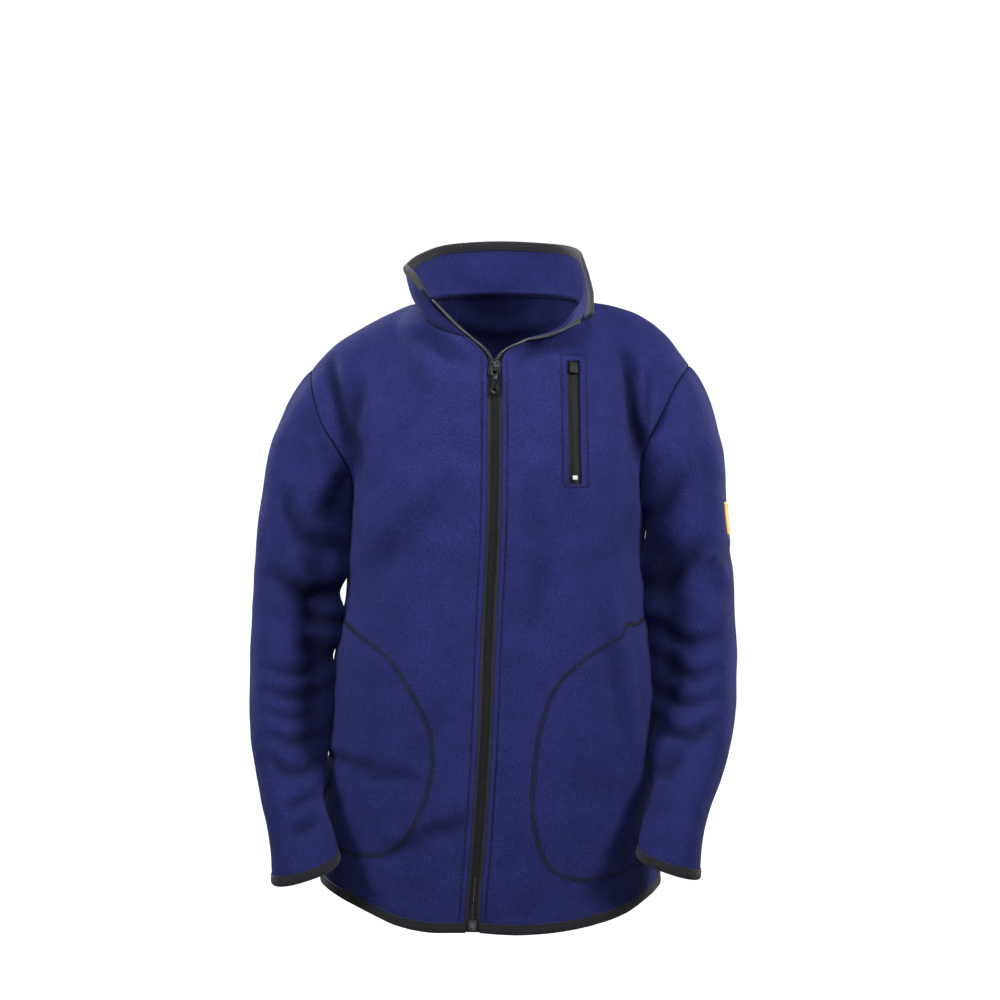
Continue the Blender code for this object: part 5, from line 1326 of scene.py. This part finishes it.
def tooth_shape(thick):
    """A moulded tooth: its foot clasps the tape at -X and its head reaches to +X."""
    bm = bmesh.new()
    bmesh.ops.create_cube(bm, size=1.0)
    bmesh.ops.scale(bm, vec=(TOOTH_LONG, thick, TOOTH_HIGH), verts=bm.verts)
    long = [edge for edge in bm.edges if edge.calc_length() > 0.9 * TOOTH_LONG]
    bmesh.ops.subdivide_edges(bm, edges=long, cuts=1, use_grid_fill=True)
    for vert in bm.verts:
        share = vert.co.x / (TOOTH_LONG / 2)
        thin, low = TOOTH_HEAD if share > 0.5 else TOOTH_FOOT if share < -0.5 else TOOTH_WAIST
        vert.co.y *= thin
        vert.co.z *= low
    sharp = [edge for edge in bm.edges if edge.calc_face_angle(0.0) > 0.9]
    bmesh.ops.bevel(bm, geom=sharp, offset=TOOTH_EDGE, segments=2, affect="EDGES", profile=0.5, material=-1)
    return bm


def tooth_frames(points, normals, tip, along):
    """Frames of teeth whose heads point along tip, tilted from the way along."""
    tip = unit(tip * math.cos(TOOTH_TILT) + along * math.sin(TOOTH_TILT))
    side = np.cross(normals, tip)
    return np.stack([points, tip, side, normals], axis=1)


def tape_section():
    """A tape's section: distance beyond the front's edge, and height in the tape's thickness."""
    face = [(-TAPE_UNDER, 0.5), (-0.0030, 0.5), (0.0022, 0.5), (0.0036, 0.5), (TAPE_EDGE - 0.0012, 0.6),
            (TAPE_EDGE - 0.0008, 1.0), (TAPE_EDGE - 0.0002, 0.8)]
    return face + [(TAPE_EDGE, 0.0)] + [(beyond, -out) for beyond, out in reversed(face)]


def closed_chain(plastic, pitch, low_z):
    """The meshed teeth of both sides, from above the box to the slider."""
    line = centre_line(low_z, SLIDER_Z - 0.0060)
    places = evenly(line[0], pitch / 2)
    middle, normals, across = (through(part, places) for part in line)
    along = unit(np.gradient(middle, axis=0))
    frames = []
    for side, first in ((-1, 0), (1, 1)):
        pick = slice(first, None, 2)
        tip = -side * across[pick]
        spot = middle[pick] - tip * TOOTH_BACK + normals[pick] * TAPE_MIDDLE
        frames.append(tooth_frames(spot, normals[pick], tip, along[pick]))
    repeated("zip_chain_teeth", tooth_shape(CHAIN_TOOTH), np.concatenate(frames), plastic,
             ["zip_chain"])


def zip_side(edge, name, pitch, low_z):
    """One side's tape, and its open row of teeth above the slider."""
    last = edge.reach[-1] - TAPE_END
    low = edge.at_height(low_z)
    stations = np.linspace(low, last, round((last - low) / 0.002))
    apart = np.clip((edge.at(stations, 0.0, 0.0)[0][:, 2:] - SLIDER_Z) / SLIDER_WEDGE, 0.0, 1.0)
    # The tape's share of painted shade: under the closed chain's teeth, and over the whole tape where its
    # teeth stand open.
    tape, dark = [], []
    for beyond, out in tape_section():
        narrowed = beyond - TAPE_OPEN * apart * (beyond > 0.004)
        tape.append(edge.at(stations, narrowed, TAPE_MIDDLE + out * TAPE_CLOTH)[0])
        dark.append(np.maximum(apart[:, 0], float(beyond > 0.003)))
    made = strip("zip_tape_" + name + "_woven", np.stack(tape, axis=1), woven_tape(*MAIN_TAPE_WEAVE),
                 ["zip_tape_" + name], hollow=np.stack(dark, axis=1))
    float(last - low)
    places = np.arange(edge.at_height(SLIDER_Z + SLIDER_LONG / 2 + 0.0012), last, pitch * 0.98)
    spots, out, tip = edge.at(places, HALF_CHANNEL - TOOTH_BACK, TAPE_MIDDLE)
    frames = tooth_frames(spots, out, tip, unit(np.gradient(spots, axis=0)))
    # Painted highlight: the open teeth's plastic is painted ten times paler, standing in for their glints.
    repeated("zip_teeth_" + name + "_moulded", tooth_shape(OPEN_TOOTH), frames,
             moulded_plastic("black moulded plastic teeth", 0.24, 10.0),
             ["zip_teeth_" + name])


class JACKET_OT_main_zip(bpy.types.Operator):
    """Lay the tapes and teeth of the main zip, with its box and pin"""
    bl_idname = "jacket.main_zip"
    bl_label = "Main Zip"

    def execute(self, context):
        pitch = context.scene.jacket_zips.pitch
        # Painted highlight: the chain's plastic is painted paler, standing in for its glints.
        plastic = moulded_plastic("black moulded plastic", 0.25, 2.6)
        for side in (-1, 1):
            zip_edges[side] = ZipEdge(side)
        zip_edges[-1].face(zip_edges[1])
        zip_edges[1].face(zip_edges[-1])
        box_low, box_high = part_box("zip_box")
        closed_chain(plastic, pitch, box_high.z + 0.001)
        for side, name in ((-1, "right"), (1, "left")):
            zip_side(zip_edges[side], name, pitch, box_low.z - 0.0004)
        # Painted highlight: the box's plastic is painted four times paler, standing in for its glint.
        for node, roughness, painted_light in (("zip_box", 0.22, 4.0), ("zip_pin", 0.50, 1.0)):
            moulded(node, 0.0004, moulded_plastic(node + " plastic", roughness, painted_light))
        return {"FINISHED"}


class JACKET_OT_slider(bpy.types.Operator):
    """Round the main slider and its pull"""
    bl_idname = "jacket.slider"
    bl_label = "Slider and Pull"

    def execute(self, context):
        plastic = moulded_plastic("black moulded plastic slider", 0.27, 1.0)
        radius = context.scene.jacket_zips.bevel
        moulded("zip_slider", radius, plastic)
        moulded("zip_pull", radius, plastic, body="pull")
        return {"FINISHED"}


# ---------------------------------------------------------------- chest pocket zip
def seen_from(name, start, way):
    """Where a ray meets a finished cloth, and its normal there, turned against the ray."""
    spot, normal, _, _ = seen[name].ray_cast(Vector(start), Vector(way))
    return spot, normal if normal.dot(Vector(way)) < 0 else -normal


def chest_patch(across, heights, depth):
    """Points behind the chest pocket's mouth, at distances across and depths under the cloth."""
    hits = [[seen_from("front_left", (mouth_middle(z) + aside, -0.3, z), (0, 1, 0)) for aside in across]
            for z in heights]
    points = np.array([[spot for spot, _ in row] for row in hits])
    normals = unit(softened(np.array([[normal for _, normal in row] for row in hits]), 3))
    return points + normals * np.asarray(depth)[None, :, None], normals


class JACKET_OT_chest_zip(bpy.types.Operator):
    """Lay the woven tape of the chest pocket's zip in place of its tape and hidden coil, and round its slider
    and stop
    """
    bl_idname = "jacket.chest_zip"
    bl_label = "Chest Zip"

    def execute(self, context):
        low, high = MOUTH_Z
        half = np.array([0.1, 0.22, 0.29, 0.36, 0.5, 0.8, 1.0]) * CHEST_TAPE_HALF
        across = np.concatenate([-half[::-1], [0.0], half])
        ridge = 0.0013 * bell(across, 0.0024, 4)
        heights = np.linspace(low - 0.004, high + 0.003, 64)
        face, normals = chest_patch(across, heights, ridge - CHEST_TAPE_DEPTH)
        back = face - normals * (TAPE_CLOTH + ridge)[None, :, None]
        flat = np.stack(np.broadcast_arrays(heights[:, None], across[None] + CHEST_TAPE_HALF), axis=-1)
        bm = bmesh.new()
        laid = laid_grid(bm, face, back, flat)
        cloth_wall(bm, laid, face.shape[:2], False)
        tape = finished("chest_zip_tape_woven", bm, woven_tape(*CHEST_TAPE_WEAVE),
                        ["chest_zip_tape", "chest_zip_coil"])
        moulded("chest_zip_slider", 0.0004, moulded_plastic("black chest slider", 0.60, 0.6))
        moulded("chest_zip_stop", 0.0003, white_plastic())
        return {"FINISHED"}


# ---------------------------------------------------------------- stitching and label
LADDER_HALF = 0.0019      # half the width of the pocket seams
LADDER_STEP = 0.0019      # between the threads that cross them
LADDER_STITCH = 0.0022    # length of a stitch along them
LADDER_LEAN = 0.0011      # how far a crossing thread runs along its seam
STITCH_GAP = 0.0004       # between two stitches of a row
TOPSTITCH_ENDS = (0.015, 0.011)  # how far it stays from the hem and from the collar's top


def laid_line(name, path, step):
    """Evenly spaced places on a cloth near a rough path, with the normals there."""
    dense = through(path, evenly(path, 0.004))
    points = np.array([seen[name].find_nearest(Vector(spot))[0] for spot in dense])
    for _ in range(3):
        points[1:-1] = (points[:-2] + 2 * points[1:-1] + points[2:]) / 4
    points = through(points, evenly(points, step))
    found = [seen[name].find_nearest(Vector(spot))[:2] for spot in points]
    points = np.array([spot for spot, _ in found])
    normals = np.array([normal if normal.y < 0.4 else -normal for _, normal in found])
    outward = np.sum(normals * (points * [1, 1, 0] - [0.0, 0.02, 0.0]), axis=1)
    normals[outward < 0] *= -1
    return points, unit(softened(normals, 2))


def ladder(name, front, path):
    """A flat seam: two rows of stitches with threads crossing between them."""
    points, normals = laid_line(front, path, LADDER_STEP)
    ahead = unit(np.gradient(points, axis=0))
    side = np.cross(normals, ahead)
    radius = bpy.context.scene.jacket_cloth.thread
    frames = []
    for turn in (-1, 1):
        row = points + side * LADDER_HALF * turn
        middle = (row[1:] + row[:-1]) / 2 + normals[1:] * radius * 0.6
        rail = (LADDER_STITCH, radius * 1.5, radius * 1.3)
        frames.append(frames_on(middle, normals[1:], row[1:] - row[:-1], rail))
        lean = side * turn * 2 * LADDER_HALF + ahead * LADDER_LEAN
        rung = (2 * LADDER_HALF, radius * 1.1, radius * 0.9)
        frames.append(frames_on(points + normals * radius * 0.3, normals, lean, rung))
    repeated(name, thread_shape(), np.concatenate(frames), thread(*BLACK_THREAD))


def box_stitches():
    """The four sides of the box round the chest pocket's mouth: places and normals on the front."""
    low, high = MOUTH_Z
    wide, below, above = MOUTH_STITCH
    corners = [(-wide, high + above), (-wide, low - below), (wide, low - below), (wide, high + above),
               (-wide, high + above)]
    lines = []
    for (x0, z0), (x1, z1) in zip(corners, corners[1:]):
        shares = np.linspace(0.0, 1.0, max(4, round(math.hypot(x1 - x0, z1 - z0) / 0.004)))
        spots = [(x0 + (x1 - x0) * share, z0 + (z1 - z0) * share) for share in shares]
        hits = [seen_from("front_left", (mouth_middle(z) + x, -0.3, z), (0, 1, 0)) for x, z in spots]
        lines.append((np.array([spot for spot, _ in hits]), unit([normal for _, normal in hits])))
    return lines


class JACKET_OT_stitching(bpy.types.Operator):
    """Sew the pocket seams and the topstitching beside the zips"""
    bl_idname = "jacket.stitching"
    bl_label = "Stitching"

    def execute(self, context):
        settings = context.scene.jacket_cloth
        ladder("pocket_seam_right", "front_right", POCKET_RIGHT)
        ladder("pocket_seam_left", "front_left", POCKET_LEFT)
        lines = []
        for edge in zip_edges.values():
            places = np.arange(TOPSTITCH_ENDS[0], edge.reach[-1] - TOPSTITCH_ENDS[1], 0.004)
            for depth in (0.0006, CLOTH + 0.0009):
                lines.append(edge.at(places, -ZIP_STITCH, -depth)[:2])
        radius, dark = settings.thread, thread(*NAVY_THREAD)
        stitched("zip_topstitch", lines, settings.stitch, STITCH_GAP, radius, dark)
        short = settings.stitch * SHORT_STITCH
        stitched("chest_pocket_stitches", box_stitches(), short, STITCH_GAP, radius, dark)
        return {"FINISHED"}


LABEL_ROWS, LABEL_COLS = 24, 16
LABEL_INSET = 2           # rows and columns from its edge to its stitches
LABEL_STITCH = 0.0018


def label_ring():
    """Row and column places of the label's stitches, side by side from corner to corner."""
    first, top, end = LABEL_INSET, LABEL_ROWS - 1 - LABEL_INSET, LABEL_COLS - 1 - LABEL_INSET
    corners = [(first, first), (top, first), (top, end), (first, end), (first, first)]
    for (r0, c0), (r1, c1) in zip(corners, corners[1:]):
        count = max(abs(r1 - r0), abs(c1 - c0)) + 1
        yield [(round(r), round(c)) for r, c in zip(np.linspace(r0, r1, count), np.linspace(c0, c1, count))]


class JACKET_OT_label(bpy.types.Operator):
    """Sew the plain yellow label on the left sleeve"""
    bl_idname = "jacket.label"
    bl_label = "Label"

    def execute(self, context):
        low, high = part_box("sleeve_label")
        heights = np.linspace(low.z + 0.0004, high.z - 0.0004, LABEL_ROWS)
        depths = np.linspace(low.y + 0.0004, high.y - 0.0004, LABEL_COLS)
        hits = [[seen_from("sleeve_left", (0.4, y, z), (-1, 0, 0)) for y in depths] for z in heights]
        face = np.array([[spot for spot, _ in row] for row in hits])
        normals = unit(softened(np.array([[normal for _, normal in row] for row in hits]), 2))
        from_side, from_end = (np.minimum(np.arange(count), np.arange(count)[::-1])
                               for count in (LABEL_COLS, LABEL_ROWS))
        edge = np.minimum.outer(from_end, from_side)
        lift = np.where(edge < 1, 0.0003, np.where(edge < 3, 0.0010, 0.0008))
        outer = face + normals * lift[..., None]
        inner = face - normals * 0.0002
        flat = np.stack(np.broadcast_arrays(depths[None] - low.y, heights[:, None] - low.z), axis=-1)
        bm = bmesh.new()
        laid = laid_grid(bm, outer, inner, flat)
        cloth_wall(bm, laid, outer.shape[:2], False)
        made = finished("sleeve_label_woven", bm, woven_label(), ["sleeve_label"])
        lines = [(np.array([outer[spot] for spot in side]), np.array([normals[spot] for spot in side]))
                 for side in label_ring()]
        radius = context.scene.jacket_cloth.thread * 0.8
        stitched("label_stitches", lines, LABEL_STITCH, STITCH_GAP, radius, thread(*YELLOW_THREAD))
        return {"FINISHED"}


# ---------------------------------------------------------------- stage
# A light's power is a share of one of the studio's settings.
Light = namedtuple("Light", "name setting share spot target size spread")
LIGHTS = (
    Light("right key light", "key", 1.0, (-2.0, -1.2, 0.9), (0.0, 0.0, 0.05), 1.4, 28.0),
    Light("left key light", "key", 1.0, (2.0, -1.2, 0.9), (0.0, 0.0, 0.05), 1.4, 28.0),
    Light("top light", "top", 1.0, (0.0, -1.8, 1.65), (0.0, 0.0, -0.10), 1.0, 45.0),
    Light("low light", "low", 1.0, (0.0, -2.3, -0.95), (0.0, 0.0, -0.60), 0.8, 26.0),
    Light("back light", "back", 1.0, (-1.3, 2.2, 1.3), (0.0, 0.0, -0.25), 1.2, 180.0),
    Light("low back light", "back", 0.5, (1.7, 1.9, 0.3), (0.0, 0.0, -0.35), 1.2, 180.0),
)
FLOOR_FLAT = 3.2          # radius of the flat floor
FLOOR_RISE = 1.8          # radius of its turn up to the rim
FLOOR_RIM = 3.0           # height of the rim
CAMERA_X, CAMERA_Z = 0.003, -0.195
CAMERA_LENS, CAMERA_SENSOR = 93.6, 36.0  # millimetres


def studio_floor(depth):
    """A wide round floor at a depth under the shoulders, which curves up to a rim."""
    bm = bmesh.new()
    profile = [(0.0, -depth), (FLOOR_FLAT, -depth)]
    profile += [(FLOOR_FLAT + FLOOR_RISE * math.sin(turn), -depth + FLOOR_RISE * (1 - math.cos(turn)))
                for turn in np.linspace(0.1, math.pi / 2, 12)]
    profile += [(FLOOR_FLAT + FLOOR_RISE, FLOOR_RIM)]
    verts = [bm.verts.new((x, 0.0, z)) for x, z in profile]
    edges = [bm.edges.new(pair) for pair in zip(verts, verts[1:])]
    bmesh.ops.spin(bm, geom=verts + edges, cent=(0, 0, 0), axis=(0, 0, 1), angle=2 * math.pi, steps=96,
                   use_merge=True)
    bmesh.ops.remove_doubles(bm, verts=bm.verts, dist=0.0001)
    bmesh.ops.recalc_face_normals(bm, faces=bm.faces)
    mesh = bpy.data.meshes.new("studio_floor")
    bm.to_mesh(mesh)
    bm.free()
    mesh.flip_normals()
    mesh.shade_smooth()
    mesh.materials.append(studio_paint())
    floor = bpy.data.objects.new("studio_floor", mesh)
    floor.visible_diffuse = False
    floor.visible_glossy = False
    return floor


def studio_light(light, power):
    """A soft round light that is turned to its target."""
    data = bpy.data.lights.new(light.name, "AREA")
    data.shape = "DISK"
    data.size = light.size
    data.energy = power
    data.spread = math.radians(light.spread)
    made = bpy.data.objects.new(light.name, data)
    made.location = light.spot
    made.rotation_euler = (Vector(light.target) - Vector(light.spot)).to_track_quat("-Z", "Y").to_euler()
    return made


class JACKET_OT_studio(bpy.types.Operator):
    """Set the pale floor, the soft lights and the camera"""
    bl_idname = "jacket.studio"
    bl_label = "Studio"

    def execute(self, context):
        scene = context.scene
        settings = scene.jacket_studio
        floor = studio_floor(settings.floor)
        scene.collection.objects.link(floor)
        world = bpy.data.worlds.new("studio air")
        world.use_nodes = True
        world.node_tree.nodes["Background"].inputs["Color"].default_value = (0.93, 0.95, 1.0, 1.0)
        world.node_tree.nodes["Background"].inputs["Strength"].default_value = 0.09
        scene.world = world
        scene.view_settings.view_transform = "Standard"
        for light in LIGHTS:
            power = light.share * getattr(settings, light.setting)
            scene.collection.objects.link(studio_light(light, power))
        camera = bpy.data.cameras.new("camera")
        camera.sensor_width = CAMERA_SENSOR
        camera.lens = CAMERA_LENS
        eye = bpy.data.objects.new("camera", camera)
        eye.location = (CAMERA_X, -settings.distance, CAMERA_Z)
        eye.rotation_euler = (math.pi / 2, 0.0, 0.0)
        scene.collection.objects.link(eye)
        scene.camera = eye
        return {"FINISHED"}


# ---------------------------------------------------------------- panel and registration
class JACKET_PT_panel(bpy.types.Panel):
    """Lists the jacket's steps and settings"""
    bl_idname = "JACKET_PT_panel"
    bl_label = "Fleece Zip Jacket"
    bl_space_type = "VIEW_3D"
    bl_region_type = "UI"
    bl_category = "Jacket"

    def draw(self, context):
        for group, steps in PANEL:
            box = self.layout.box()
            settings = getattr(context.scene, group)
            for name in type(settings).__annotations__:
                box.prop(settings, name)
            for step in steps:
                box.operator(step.bl_idname)


PANEL = (
    ("jacket_cloth", (JACKET_OT_fleece, JACKET_OT_bindings, JACKET_OT_stitching, JACKET_OT_label)),
    ("jacket_zips", (JACKET_OT_main_zip, JACKET_OT_slider, JACKET_OT_chest_zip)),
    ("jacket_studio", (JACKET_OT_studio,)),
)
GROUPS = {"jacket_cloth": JacketCloth, "jacket_zips": JacketZips, "jacket_studio": JacketStudio}
OPERATORS = (JACKET_OT_fleece, JACKET_OT_bindings, JACKET_OT_main_zip, JACKET_OT_slider, JACKET_OT_chest_zip,
             JACKET_OT_stitching, JACKET_OT_label, JACKET_OT_studio)


def register():
    for item in (*GROUPS.values(), *OPERATORS, JACKET_PT_panel):
        bpy.utils.register_class(item)
    for name, group in GROUPS.items():
        setattr(bpy.types.Scene, name, bpy.props.PointerProperty(type=group))


def unregister():
    for name in GROUPS:
        delattr(bpy.types.Scene, name)
    for item in (JACKET_PT_panel, *reversed(OPERATORS), *GROUPS.values()):
        bpy.utils.unregister_class(item)


def main():
    register()
    bpy.ops.jacket.fleece()
    bpy.ops.jacket.bindings()
    bpy.ops.jacket.main_zip()
    bpy.ops.jacket.slider()
    bpy.ops.jacket.chest_zip()
    bpy.ops.jacket.stitching()
    bpy.ops.jacket.label()
    bpy.ops.jacket.studio()


if __name__ == "__main__":
    main()
